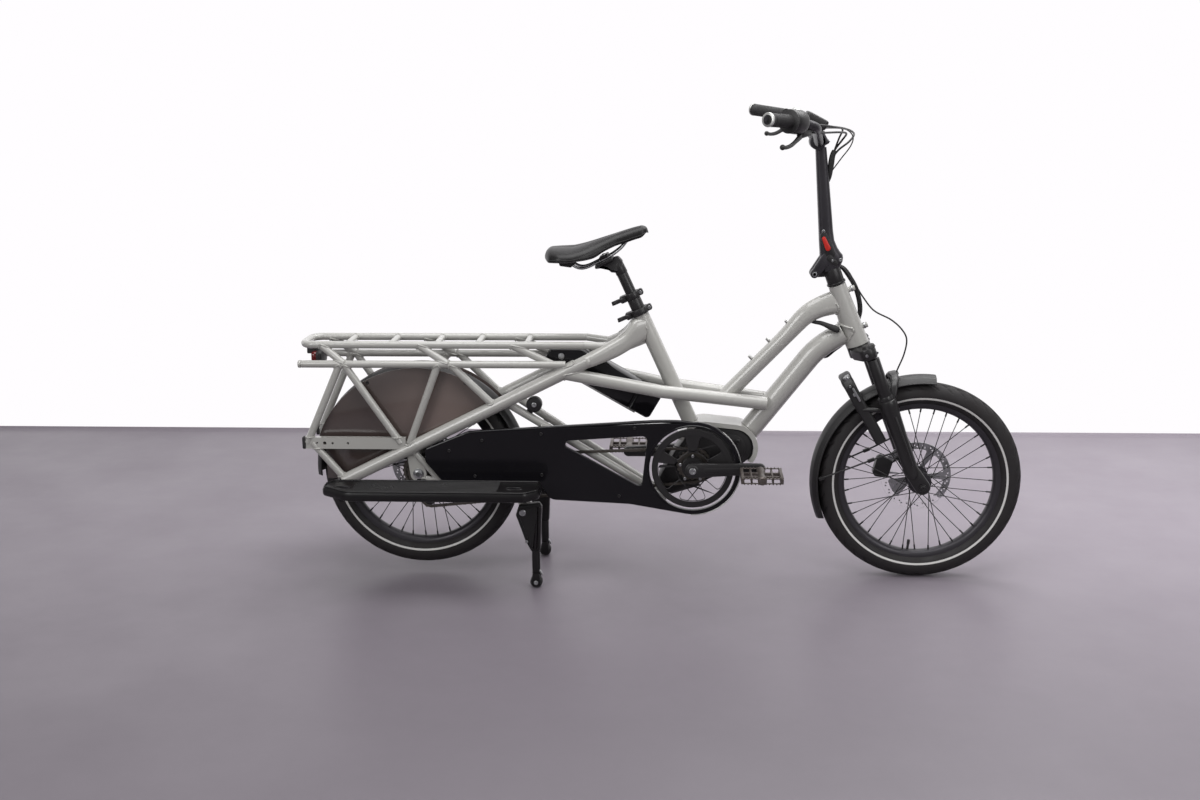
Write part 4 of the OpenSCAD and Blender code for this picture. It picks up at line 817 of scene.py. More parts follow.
# %% [markdown]
# ## Crank and ring
# The crank turns a five-armed ring that keeps trousers off the chain. The ring is one moulded plate with
# five openings. The crank arms are forged, so their edges are well rounded and a low spine runs along
# each.

# %% Crank ring
RING_Y, ARM_Y, ARM_T, CRANK_LEN, CRANK_TURN = -82.0, -91.0, 15.0, 170.0, math.radians(2.0)
RING_R, RING_BORE, RING_BOLTS_R = 104, 11.5, 33
FIFTHS = 90 + 72 * np.arange(5)
openings = [sector_at(CRANK_C, a + 13, a + 72 - 13, 43, 86, 6.0) for a in FIFTHS]
ring_rims = [ring_at(CRANK_C, RING_R, 120), ring_at(CRANK_C, RING_BORE, 32)]
ring_lip = [[88, RING_Y - 1.2], [102, RING_Y - 1.2], [103.4, RING_Y], [88, RING_Y + 0.6]]
ring = [cutout(ring_rims + openings, RING_Y, RING_Y + 5, 1.2), turned(ring_lip, CRANK_C, n=120),
        turned([[RING_BORE, -78.5], [27, -78.5], [27, -45.2], [RING_BORE, -45.2]], CRANK_C, n=48)]
piece("five_arm_ring", ring, grained, "crank", ["guard_ring"])
sprocket = cutout([teeth(CRANK_C, 41, 20), ring_at(CRANK_C, 26.5, 40)], -50.5, -47.5, 0.4)
piece("front_sprocket", [sprocket], dull_steel, "crank")

# %% [markdown]
# ### Crank arms
# Many forged and stamped parts of a bike are long eyes: two round ends of different size, joined by
# straight sides. One outline serves them all. The left arm is the right one's mirror, turned half round.

# %% Crank arms


def capsule(p, q, r0, r1, k=20):
    """The outline round two circles: half of each, joined by straight sides."""
    p, q = np.asarray(p, float), np.asarray(q, float)
    axis = math.atan2(*(q - p)[::-1])
    lean = math.acos((r0 - r1) / np.linalg.norm(q - p))
    near, far = np.linspace(axis + lean, axis + 2 * np.pi - lean, k), np.linspace(axis - lean, axis + lean, k)
    return np.vstack([p + r0 * around(near), q + r1 * around(far)])


def arm_reach(side):
    """From the crank's middle to its right (-1) or left (1) pedal, in the side view."""
    return -side * CRANK_LEN * np.array([math.cos(CRANK_TURN), math.sin(CRANK_TURN)])


def crank_arm(side):
    """A forged arm: a capsule outline with deep round edges, a low raised spine and a boss."""
    tip, face = arm_reach(side), ARM_Y - ARM_T
    arm = plate(capsule(CRANK_C, CRANK_C + tip, 19, 13.5), face, ARM_Y, 4.0)
    spine = plate(capsule(CRANK_C + 0.2 * tip, CRANK_C + 0.86 * tip, 6.5, 5.0), face - 0.8, face + 3, 1.0)
    boss = turned([[0, face - 1.6], [13, face - 1.6], [15, face], [15, face + 4], [0, face + 4]], CRANK_C,
                  n=40)
    shapes = [arm, spine, boss]
    return shapes if side < 0 else mirrored(shapes)


spindle = turned([[0, -92], [11, -92], [11, 92], [0, 92]], CRANK_C, n=40)
piece("forged_crank_arms", crank_arm(-1) + crank_arm(1) + [spindle], powder, "crank",
      ["crank_arms"])
crank_bolts = [screw([CRANK_C[0], s * 107.2, CRANK_C[1]], s * ACROSS, 8.5, 3.0) for s in (-1, 1)]
ring_bolts = [screw(spot(CRANK_C, RING_BOLTS_R, a, RING_Y - 0.2), RIGHT, 4.0, 2.4)
              for a in np.radians(FIFTHS)]
piece("crank_bolts", crank_bolts + ring_bolts, steel, "crank")

# %% [markdown]
# ## Pedals
# The pedals are cast cages: two walls with teeth that grip the shoe, bars at the front and the rear, and
# webs between them round the axle's housing. The teeth could be a bump in the finish, but they show
# against the light, so they are in the outline.

# %% Pedals
PEDAL_L, PEDAL_W, PEDAL_T = 104.0, 94.0, 20.0
PEDAL_IN, PEDAL_OUT = -114.0, -114.0 - PEDAL_W
TOOTH_MM = 2.6


def pedal(side):
    """A cast cage: two toothed side walls, a front and a rear bar, a middle web and a round axle housing."""
    c = CRANK_C + arm_reach(side)
    y_in, y_out = PEDAL_IN, PEDAL_OUT
    half, t = PEDAL_L / 2, PEDAL_T / 2
    x = np.linspace(-half + 4, half - 4, 45)
    saw = t - TOOTH_MM + TOOTH_MM * (np.arange(45) % 4 == 2)
    wall = np.vstack([np.column_stack([x, saw]), [[half, t - 5], [half, 5 - t]],
                      np.column_stack([x, -saw])[::-1], [[-half, 5 - t], [-half, t - 5]]]) + c
    cells = [oblong(-44, -9, -5.5, 5.5, 3.0, 4, c), oblong(9, 44, -5.5, 5.5, 3.0, 4, c)]
    walls = [cutout([wall] + cells, y, y + 7, 0.8) for y in (y_out, y_in - 7)]
    bars = [plate(oblong(e - 4, e + 4, 1 - t, t - 1, 2.0, 4, c), y_out + 4, y_in - 4, 1.2)
            for e in (-half + 4, half - 4)]
    webs = [plate(oblong(e - 2.5, e + 2.5, -6, 6, 1.5, 4, c), y_out + 4, y_in - 4, 0.8)
            for e in (-26.0, 26.0)]
    cross = [plate(oblong(-half + 4, half - 4, -4, 4, 1.5, 4, c), m - 3, m + 3, 0.8)
             for m in (y_out + 32, y_out + 62)]
    house = turned([[0, y_out - 1], [8, y_out - 1], [11, y_out + 2], [11, y_out + 22], [8.5, y_out + 34],
                    [8.5, y_in - 30], [11, y_in - 20], [11, y_in - 2], [8, y_in + 3], [6, y_in + 3],
                    [6, -99.5], [0, -99.5]], c, n=32)
    shapes = walls + bars + webs + cross + [house]
    return shapes if side < 0 else mirrored(shapes)


for side, sign in (("right", -1), ("left", 1)):
    piece(f"cast_pedal_{side}", pedal(sign), worn_alloy, f"pedal_{side}", [f"pedal_{side}"])

# %% [markdown]
# ## Chain
# A roller chain is plates and rollers on pins half an inch apart. One link could be copied along a curve,
# but then the copies stretch, so the pins are placed by a rule: the path is the tight loop round three
# wheels, found as the outermost point of the wheels in each direction, and each link sits between two
# pins.

# %% Chain
LINK_MM, CHAIN_Y, LINK_R, LINK_WAIST = 12.7, -49.0, 4.1, 2.9
INNER_GAP, OUTER_GAP, HALF_T = 2.0, 3.2, 0.55
CHAIN_WHEELS = [[*CRANK_C, 45.2], [*REAR_C, 38.2], [26.0, 214.0, 22.2]]


def round_hull(circles, n=160):
    """The tight outline round circles (x, z, r): in each direction, the point of the circle that reaches
    furthest."""
    c = np.asarray(circles, float)
    way = around(np.linspace(0, 2 * np.pi, n, endpoint=False))
    most = (way @ c[:, :2].T + c[:, 2]).argmax(1)
    return c[most, :2] + c[most, 2:] * way


loop = round_hull(CHAIN_WHEELS, 4000)
loop = np.vstack([loop, loop[:1]])
links = 2 * round(distances(loop)[-1] / LINK_MM / 2)
pins = spaced(loop, links, endpoint=False)
bone_a = np.radians(np.arange(0, 360, 30))
bone = np.column_stack([LINK_R * np.cos(bone_a) + np.where(np.cos(bone_a) > 0.1, LINK_MM / 2, -LINK_MM / 2),
                        np.where(np.abs(np.cos(bone_a)) < 0.4, LINK_WAIST, LINK_R) * np.sin(bone_a)])
next_pins = np.roll(pins, -1, 0)
run_dir = unit(next_pins - pins)
turned_bone = ((pins + next_pins)[:, None] / 2 + bone[None, :, :1] * run_dir[:, None]
               + bone[None, :, 1:] * np.column_stack([-run_dir[:, 1], run_dir[:, 0]])[:, None])
chain_shapes = []
for k, outline in enumerate(turned_bone):
    gap = OUTER_GAP if k % 2 else INNER_GAP
    for y in (CHAIN_Y - gap, CHAIN_Y + gap):
        faces_at = [upright(outline, y - HALF_T), upright(outline, y + HALF_T)]
        chain_shapes.append(skin(np.stack(faces_at), caps=True))
chain_shapes += [rod([x, CHAIN_Y - 3.9, z], [x, CHAIN_Y + 3.9, z], 1.9, k=8, edge=0.2) for x, z in pins]
piece("roller_chain", chain_shapes, dull_steel, "frame", ["chain"])

# %% [markdown]
# ## Chain guard
# The guard is a glossy moulding that keeps clothes off the chain. It has a window, a round mouth for the
# ring and a rolled upper edge that catches the light. A flat plate with holes gives its face; the lip
# round the mouth is turned, and the roll is swept along the upper edge.

# %% Chain guard
GUARD_Y0, GUARD_Y1, MOUTH_R, NOSE_R, ROLL_Y = -84.0, -72.0, 110.0, 122, -78
GUARD_SCREWS = ((322, 398), (322, 290), (170, 380), (150, 285), (85, 352), (560, 415), (520, 235))
ROLL_LINE = ((120, 392), (150, 400.5), (300, 411), (450, 421), (600, 430.5), (660, 431.5), (707, 427.6))
arc = np.radians(np.linspace(84, -97, 40))
tail_edge = rounded([[330, 263], [70, 263], [22, 322], [22, 356], [135, 403], [590, 434]],
                    [0.1, 6, 8, 10, 30, 0.1], 6)[6:-6]
low_edge = rounded([[640, 195], [549, 213], [342, 223], [318, 263], [200, 263]],
                   [0.1, 200, 26, 20, 0.1], 6)[6:-6]
guard_rim = np.vstack([tail_edge, CRANK_C + NOSE_R * around(arc), low_edge])
pane = rounded([[361, 378], [593, 394], [577, 258]], [9, 12, 9], 6)
lip = [[MOUTH_R - 0.3, GUARD_Y0 - 2.2], [MOUTH_R + 3.2, GUARD_Y0 - 2.2], [MOUTH_R + 4.6, GUARD_Y0 - 0.6],
       [MOUTH_R + 4.6, GUARD_Y0 + 3], [MOUTH_R - 0.3, GUARD_Y0 + 3]]
roll = smooth_path([[x, ROLL_Y, z] for x, z in ROLL_LINE], 60)
guard = [cutout([guard_rim, ring_at(CRANK_C, MOUTH_R, 96), pane], GUARD_Y0, GUARD_Y1, 2.6),
         sweep(roll, block(6.4, 3.4, 3.2, 5), up=UP),
         turned(lip, CRANK_C, n=120),
         rod([814.5, -72.5, 352.5], [814.5, -38.3, 352.5], 5),
         rod([340, -72.5, 402], [340, -56, 402], 6)]
piece("chain_guard_shell", guard, gloss_black, "frame", ["chain_guard"])
edge_arc = np.radians(np.linspace(52, -92, 60))
edge_path = upright(CRANK_C + (NOSE_R + 0.4) * around(edge_arc), GUARD_Y0 + 1.2)
piece("guard_edge_wire", [sweep(edge_path, circle(1.5, 8), up=ACROSS)], alloy, "frame")
guard_screws = [screw([x, GUARD_Y0 - 0.2, z], RIGHT, 4.2, 2.4) for x, z in GUARD_SCREWS]
piece("guard_screws", guard_screws, powder, "frame")

# %% [markdown]
# ## Fork
# The fork has springs: black upper tubes slide in thick lower legs, which are cast in one with an arch
# over the tyre. A cast leg is a sweep whose radius changes along the way, so the flare at its top and the
# slim waist are one array. The crown is a forged bridge, drawn from above and given a height.

# %% Fork crown
STEER_UP, STEER_AHEAD = np.array([-0.34857, 0, 0.93728]), np.array([0.93728, 0, 0.34857])
CROWN, HEAD_TOP = np.array([1132.6, 0, 586.2]), np.array([1065.0, 0, 768.0])
HINGE, LEG_Y = [1007, 797], 64.0


def on_fork(base, fore=0.0, out=0.0, up=0.0):
    """A place so far ahead, to the left and up from a base, in the leaning directions of the fork."""
    return base + fore * STEER_AHEAD + out * ACROSS + up * STEER_UP


crown_view = rounded([[40, -85], [-2, -85], [-24, -24], [-24, 24], [-2, 85], [40, 85], [28, 34], [28, -34]],
                     [19, 20, 22, 22, 20, 19, 60, 60], 6)
base_low = on_fork(HEAD_TOP, up=3)
crown = [slab(crown_view, CROWN, STEER_AHEAD, ACROSS, 0, 30, 6),
         rod(on_fork(CROWN, up=4), on_fork(CROWN, up=32.6), 28.5, k=40, edge=2),
         rod(on_fork(CROWN, up=-6), on_fork(CROWN, up=6), 17, k=32, edge=2),
         rod(base_low, on_fork(base_low, up=43.6), 21.5, k=40, edge=1.2),
         rod(on_fork(base_low, up=-0.4), on_fork(base_low, up=5), 24, k=40, edge=1.5),
         plate(capsule(HINGE, [1044, 800], 10, 11), -7.8, 7.8, 1.5)]
crown += [rod(on_fork(CROWN, 20, y, 27), on_fork(CROWN, 20, y, 36), 17, 15, k=28, edge=2)
          for y in (-LEG_Y, LEG_Y)]
piece("forged_crown", crown, powder, "fork", ["fork_crown"])
crown_bolts = [screw(on_fork(CROWN, fore, y, 15), math.copysign(1, y) * ACROSS, 4, 3)
               for fore, y in ((34, -84), (8, -84), (34, 84), (8, 84))]
hinge_pin = [rod([HINGE[0], y0, HINGE[1]], [HINGE[0], y1, HINGE[1]], r, edge=edge)
             for y0, y1, r, edge in ((-23, 23, 4.5, 0.8), (-23, -21.2, 6.5, 0.6), (21.2, 23, 6.5, 0.6))]

# %% [markdown]
# ### Fork legs
# Each lower leg is one cast piece with the dropout that holds the axle, and the right-hand one is
# mirrored to the left. The arch over the tyre is swept from leg to leg and is wider in its middle.

# %% Fork legs
LEG_HEIGHTS = np.array([487, 485, 479, 470, 440, 400, 350, 312, 294, 285, 280])
LEG_RADII = np.array([18, 21.5, 23.2, 22.6, 20.6, 19.4, 18.7, 18.6, 17.2, 13, 7])
ARCH_HALF = np.array([[1199, -62, 464], [1208, -55, 505], [1212, -42, 526], [1214, -18, 534]])


def leg_at(z, y=-LEG_Y):
    """Places on a fork leg's axis at the given heights: it leans as the steering does."""
    z = np.asarray(z, float)
    return np.stack([1151.4 - 0.3719 * (z - 593.2), np.full(z.shape, y), z], -1)


legs = both(sweep(leg_at(LEG_HEIGHTS), circle(1, 28), up=ACROSS, grow=LEG_RADII),
            rod(leg_at(470), leg_at(591), 16.2, k=28),
            rod(leg_at(484), leg_at(498), 19.6, 17.4, k=28, edge=2),
            plate(capsule([1256, 308], FRONT_C, 18.5, 20), -74, -51, 5),
            plate(capsule([1176, 486], [1196, 444], 8, 14), -72, -56, 4),
            rod(leg_at(446, -83.4) + [5, 0, 2], leg_at(318, -81.2) + [5, 0, 2], 3.4, k=10, edge=2))
arch_line = smooth_path(np.vstack([ARCH_HALF, ARCH_HALF[::-1] * [1, -1, 1]]), 49)
wider = 1 + 0.35 * np.exp(-(arch_line[:, 1] / 24) ** 4)
legs.append(sweep(arch_line, block(8, 9, 4.5, 5), up=[1, 0, 0.25], grow=wider))
piece("cast_fork_legs", legs, powder, "fork", ["fork_legs"])
axle_ends = both(rod([1289, -78, 260], [1289, -73, 260], 9.5, k=28, edge=1.2),
                 screw([1289, -78, 260], RIGHT, 6.5, 3))
piece("front_axle_ends", axle_ends, powder, "fork")
piece("fork_bolts_and_hinge_pin", crown_bolts + hinge_pin, steel, "fork")

# %% [markdown]
# ## Front mudguard
# A mudguard is a thin moulded strip, curved round the tyre both ways, with rolled lips and two ribs that
# stiffen it. That is a turned shape that stops short of a full turn. Two wire stays hold its lower end to
# the fork.

# %% Front mudguard
GUARD_MIDDLE, GUARD_SECTION, GUARD_INSIDE = 236, 43.0, 40.8
LIP_R, LIP_Y, STAY_WAY = 262.0, 34.0, [0.92, 0, 0.39]


def mudguard(centre, a0, a1, n):
    """A thin curved strip over the tyre: an arc of the section between its lips, a rolled edge on each lip
    and two shallow ribs, spun from angle a0 to a1."""
    s = np.radians(np.linspace(-53, 53, 27))
    rib = 0.9 * np.exp(-((np.abs(np.degrees(s)) - 30) / 3.0) ** 2)
    radii = (GUARD_SECTION + rib)[:, None], GUARD_INSIDE
    outer, inner = ([GUARD_MIDDLE, 0.0] + r * around(s) for r in radii)
    lips = [turned(np.array([LIP_R, e * LIP_Y]) + circle(2.1, 10), centre, a0, a1, n) for e in (-1, 1)]
    return [turned(np.vstack([outer, inner[::-1]]), centre, a0, a1, n)] + lips


stay_line = smooth_path([[1222, -63, 352], [1174, -50, 331], [1100, -43, 299], [1035, -38, 272]], 24)
stays = both(sweep(stay_line, circle(2.2, 10), up=UP),
             slab(block(9, 5, 2, 4), [1160, -48, 325], STAY_WAY, RIGHT, -4, 4, 1),
             slab(block(7, 6, 2, 4), [1037, -38, 273], STAY_WAY, RIGHT, -4, 4, 1))
stub = rod([1222, 0, 537], [1219, 0, 544], 7)
piece("front_mudguard_shell", mudguard(FRONT_C, 83.5, 201.5, 80) + stays + [stub], grained, "fork",
      ["front_mudguard"])

# %% [markdown]
# ## Ring lock
# A ring lock is a horseshoe round the tyre that bolts the spokes when the bike is parked. Its arms and
# its bridge are one closed case, so one sweep along a bent line makes all of it, a little thicker at the
# shoulders.

# %% Ring lock
LOCK_HALF = np.array([[1183, -49, 374], [1152, -50, 428], [1120, -50, 482], [1102, -46, 515],
                      [1093, -24, 530]])
LOCK_DOWN, LOCK_AHEAD = [0.5, 0, -0.866], [0.866, 0, 0.5]
lock_line = smooth_path(np.vstack([LOCK_HALF, LOCK_HALF[::-1] * [1, -1, 1]]), 73)
lock_grow = 1 + 0.12 * np.exp(-((np.abs(lock_line[:, 1]) - 36) / 12) ** 2)
lock_body = [sweep(lock_line, block(7, 14, 6.5, 5), up=LOCK_AHEAD, grow=lock_grow)]
lock_body += both(rod([1134, -52, 458], [1186, -58, 458], 6.2, k=20),
                  slab(block(20, 11, 6, 5), [1109, -53, 503], LOCK_DOWN, LOCK_AHEAD, -3.5, 3.5, 2))
piece("horseshoe_lock", lock_body, grained, "fork", ["ring_lock"])
lock_metal = [rod([1096, -34, 531], [1091, -34, 539.5], 8.5, k=24, edge=1.5),
              rod([1100, -20, 529], [1094, -20, 540], 5.5, k=20),
              slab(oblong(0, 40, -2.6, 2.6, 2.4, 4), [1106, -59.4, 516], LOCK_DOWN, LOCK_AHEAD, -1.2, 1.2,
                   0.6),
              screw([1112, -57, 498], RIGHT, 4.5, 2), screw([1100, -57, 519], RIGHT, 3.2, 2)]
piece("lock_cylinder", lock_metal, steel, "fork")

# %% [markdown]
# ## Brake calipers
# Each caliper is two halves with a slot between them for the rotor, held together by bolts on the
# outside. It is drawn along a spoke of its wheel, outwards from the axle, so the same shape serves both
# ends of the bike.

# %% Brake calipers
CALIPERS = (("front", FRONT_C, 165, "fork", [1240, 305]), ("rear", REAR_C, 20, "frame", [4, 318]))
POT_AT, BOLT_AT, BRACKET_AT = 84, 104, 96


def caliper(centre, angle):
    """Two halves either side of the rotor, drawn outwards from the axle, with a bridge over its edge."""
    a = math.radians(angle)
    out, side = np.array([math.cos(a), 0, math.sin(a)]), np.array([-math.sin(a), 0, math.cos(a)])
    origin = [centre[0], 0, centre[1]]
    half = rounded([[69, -22], [69, 22], [104, 29], [111.5, 20], [111.5, -20], [104, -29]],
                   [5, 5, 7, 6, 6, 7], 5)
    edge = rounded([[93.5, -24], [93.5, 24], [111.5, 20], [111.5, -20]], 4, 4)
    pot_feet = [origin + POT_AT * out + s * 11 * side for s in (-1, 1)]
    pots = [rod(foot + 54 * ACROSS, foot + 56.4 * ACROSS, 9.5, k=28) for foot in pot_feet]
    bolts = [screw(origin + BOLT_AT * out + s * 17 * side + 54.6 * ACROSS, ACROSS, 3.8, 3) for s in (-1, 1)]
    return [slab(half, origin, out, side, -34, -29.6, 1.5), slab(half, origin, out, side, -55, -40, 3),
            slab(edge, origin, out, side, -50, -30, 2)] + pots, bolts


for end, centre, angle, body, foot in CALIPERS:
    shapes, bolts = caliper(centre, angle)
    near = centre + BRACKET_AT * np.array([math.cos(math.radians(angle)), math.sin(math.radians(angle))])
    bracket = plate(capsule(near, foot, 13, 8), 47, 56, 2)
    piece(f"{end}_disc_caliper", shapes + [bracket], powder, body, [f"{end}_brake"])
    piece(f"{end}_caliper_bolts", bolts, steel, body)

# %% [markdown]
# ## Folding post
# The post is lofted: at each height its front, back and width are given, and a soft square is drawn
# between them. It flares at the foot, where the hinge lets it fold back, and a red latch keeps it up. Its
# head is a clamp round the bar, closed by four small bolts.

# %% Handlepost
POST_Z = np.array([808, 812, 820, 832, 842, 850, 862, 880, 905, 940, 1000, 1060, 1100, 1108.0])
POST_BACK = np.array([1027, 1026, 1024, 1021, 1020, 1019.5, 1018.5, 1017, 1015.5, 1013.2, 1009.2, 1005.2,
                      1002.6, 1002.2])
POST_FRONT = np.array([1071, 1074, 1077, 1078, 1076.5, 1071, 1063, 1055, 1051, 1047.5, 1041, 1034.4,
                       1030, 1029])
POST_HALF = np.array([21.3, 21.5, 21.5, 21.5, 21.4, 21.2, 20.4, 19, 18, 17.4, 16.2, 15, 14.2, 14])
STEER_SLOPE, LEAN_ENDS, LEAN_FADE = 0.372, 850, 40
BAR_C, CLAMP_UP, CLAMP_OUT = np.array([1007.0, 0, 1122]), np.array([-0.5, 0, 0.87]), np.array([0.87, 0, 0.5])


def soft(wave, power):
    """A wave that keeps its sign while its size is raised to a power: a power below 1 squares a circle."""
    return np.sign(wave) * np.abs(wave) ** power


def loft(z, back, front, half, power, fade):
    """Soft squares at heights z: x swings between back and front with |cos|^power, y with |sin|^power. Where
    fade is 1 the section leans with the steering, where it is 0 it is level."""
    a = np.linspace(0, 2 * np.pi, 40, endpoint=False)[None]
    c, s = soft(np.cos(a), power), soft(np.sin(a), power)
    x = ((front + back)[:, None] + (front - back)[:, None] * c) / 2
    level = z[:, None] + fade[:, None] * STEER_SLOPE * (x - x.mean(1, keepdims=True))
    return skin(np.stack([x, half[:, None] * s, level], -1), caps=True)


post = [loft(POST_Z, POST_BACK, POST_FRONT, POST_HALF, 0.72, np.clip((LEAN_ENDS - POST_Z) / LEAN_FADE, 0, 1)),
        rod(BAR_C - 21 * ACROSS, BAR_C + 21 * ACROSS, 20, k=40, edge=2.5),
        slab(block(21, 17, 5, 5), BAR_C, ACROSS, CLAMP_UP, -0.5, 23, 3)]
post += both(plate(capsule(HINGE, [1037, 836], 10.3, 15), -21.5, -8.5, 2.5))
piece("lofted_handlepost", post, anodised, "handlepost", ["handlepost"])
latch = [plate(capsule([1027.5, 886], [1038, 862], 5.2, 7), -23.4, -16, 2.4)]
piece("fold_latch", latch, latch_red, "handlepost")
bezel = [plate(capsule([1027.5, 893], [1044, 848], 9, 12.5), -21.6, -14, 1.5),
         plate(capsule([1043, 838], [1057, 824], 8, 7), -22.8, -18, 1.5)]
piece("latch_bezel", bezel, grained, "handlepost")
post_bolts = [screw([1026, -17.8, 903], RIGHT, 4.6, 3), screw([1069, -21, 833], RIGHT, 4.2, 2.6),
              screw([1050, -22.4, 831], RIGHT, 3.2, 2)]
post_bolts += [screw(BAR_C + 22.6 * CLAMP_OUT + y * ACROSS + up * CLAMP_UP, CLAMP_OUT, 3.4, 2.6)
               for y in (-14, 14) for up in (-12, 12)]
piece("post_bolts", post_bolts, steel, "handlepost")

# %% [markdown]
# ## Handlebar and grips
# The bar is one bent tube, so it is one sweep along a smooth line; only half of the line is written, and
# the rest is its mirror. A grip's ribs are a square wave added to its radius, with a swelling at each
# end.

# %% Handlebar and grips
GRIP_IN, BAR_END = np.array([945.1, -225.6, 1177.7]), np.array([865.0, -330.0, 1188.0])
BEND, ELBOW = np.array([947.4, -222.7, 1177.4]), np.array([985.7, -185, 1162.9])
GRIP_R, RIB_MM, RIB_PITCH = 14.6, 0.75, 4.6
half_bar = np.array([BAR_END, 0.5 * (BAR_END + GRIP_IN), BEND, [966, -205, 1171.5], ELBOW, [994, -130, 1147],
                     [1003, -66, 1129], [1007, -36, 1122], BAR_C])
bar_line = smooth_path(np.vstack([half_bar, half_bar[-2::-1] * [1, -1, 1]]), 181)
bar = sweep(bar_line, circle(11.1, 24), up=[0.3, 0, 1])
piece("bent_handlebar", [bar], anodised, "handlepost", ["handlebar"])
GRIP_LEN = np.linalg.norm(BAR_END - GRIP_IN)
grip_dir = (BAR_END - GRIP_IN) / GRIP_LEN
along = np.linspace(0, GRIP_LEN - 5.5, 130)
ribs = RIB_MM * (np.sin(2 * np.pi * along / RIB_PITCH) > -0.2) * (along > 12) * (along < GRIP_LEN - 16)
grip_r = GRIP_R + ribs + 1.2 * np.exp(-(along / 6) ** 2) + 1.1 * np.exp(-((along - GRIP_LEN + 6) / 9) ** 2)
grips = both(sweep(GRIP_IN + along[:, None] * grip_dir, circle(1, 32), up=UP, grow=grip_r))
piece("ribbed_grips", grips, soft_rubber, "handlepost", ["grips"])
end_rings = both(rod(BAR_END - 6 * grip_dir, BAR_END - 0.3 * grip_dir, 16.3, k=40, edge=1.5))
piece("grip_end_rings", end_rings, alloy, "handlepost")
bar_plugs = both(rod(BAR_END - 3 * grip_dir, BAR_END, 11.5, k=32, edge=1.0))
piece("bar_plugs", bar_plugs, soft_rubber, "handlepost")

# %% [markdown]
# ## Levers, shifter, display and bell
# Beside the right grip sits a round twist shifter, whose barrel is a sweep with steps in its radius. A
# brake lever is a bent blade that ends in a ball, so that it can't stab. The display is a rounded slab
# with a sheet of dark glass, and the bell is half a ball.

# %% Levers, shifter, display and bell
BARREL_T = np.array([-9, -8, -4, 4, 12, 22, 32, 39, 42, 43, 44, 47, 48.0])
BARREL_R = np.array([15, 19, 24.5, 27.4, 28, 28, 27.4, 26, 24.5, 24.2, 27.4, 27.4, 25.0])
CLAMP_T, CLAMP_R = np.array([-44, -43, -38, -24, -23]), np.array([15, 17, 17.4, 17, 15])
LEVER_TIP, BELL_C, DISPLAY_C = [901, -306, 1126], [968, 196, 1182], np.array([1001.0, 0, 1172.0])
DISPLAY_TILT = math.radians(28)


def dome(centre, way, r, h, angles, k, up):
    """Rings on a ball: at each angle a ring of radius r * cos lies h * sin from the centre along 'way'."""
    t = np.radians(angles)
    return sweep(np.asarray(centre) + h * np.sin(t)[:, None] * way, circle(r, k), up=up, grow=np.cos(t))


barrel = sweep(GRIP_IN + BARREL_T[:, None] * grip_dir, circle(1, 44), up=UP, grow=BARREL_R)
clamp_line = BEND + CLAMP_T[:, None] * unit(BEND - ELBOW)
clamp_left = sweep(np.array([1, -1, 1]) * clamp_line, circle(1, 32), up=UP, grow=CLAMP_R)
lever_line = smooth_path([[952, -214, 1152], [944, -232, 1144], [926, -264, 1130], [912, -288, 1125],
                          LEVER_TIP], 30)
lever_size = np.interp(np.linspace(0, 1, 30), [0, 0.15, 0.4, 0.85, 1], [1.5, 1.35, 1, 0.85, 0.9])
lever = sweep(lever_line, block(3.6, 5.2, 3, 5), up=[0, -0.3, 1], grow=lever_size)
ball = dome(LEVER_TIP, AHEAD, 6.5, 6.5, np.linspace(-88, 88, 13), 20, UP)
lever_view = rounded([[-24, -9], [22, -9], [22, 8], [-24, 11]], 6, 5)
lever_body = slab(lever_view, [957, -208, 1153], [-0.5, -0.75, -0.1], [0.2, -0.1, 0.97], -9, 9, 4)
display_way = np.array([math.cos(DISPLAY_TILT), 0, -math.sin(DISPLAY_TILT)])
case = slab(block(29, 36, 9, 6), DISPLAY_C, display_way, ACROSS, -12.5, 12.2, 5)
neck = loft(np.array([1138, 1142, 1160, 1168.0]), np.array([994, 993, 989, 984.0]),
            np.array([1018, 1019, 1021, 1024.0]), np.array([12, 12.5, 15, 20.0]), 0.7, np.zeros(4))
controls = [barrel, clamp_left, case, neck] + both(lever, ball, lever_body)
piece("levers_and_display", controls, grained, "handlepost", ["bar_controls"])
screen = slab(oblong(-23, 21, -30, 30, 5, 5), DISPLAY_C, display_way, ACROSS, 11.8, 12.6, 0.3)
piece("display_screen", [screen], glass, "handlepost")
bell = [dome(BELL_C, UP, 16, 15, np.linspace(4, 86, 9), 32, AHEAD),
        rod([968, 196, 1170], [968, 196, 1184], 5)]
piece("bar_bell", bell, alloy, "handlepost")

# %% [markdown]
# ## Saddle
# The saddle is a padded shell under a smooth cover. It could be sculpted by hand, but one formula gives
# it even curves: along its length the half width, the height of its crown and the depth of its skirt
# change, and at each place the section is a soft arch. A running mean takes the corners out of the three
# lines.

# %% Saddle
SADDLE_N, SADDLE_BACK, SADDLE_NOSE = 90, 333, 593
SOFT_MEAN = np.hanning(9) / np.hanning(9).sum()


def softened(values, **ends):
    """A running mean of nine values in which the middle one weighs most; ends says how the line goes on."""
    return np.convolve(np.pad(values, 4, **ends), SOFT_MEAN, "valid")


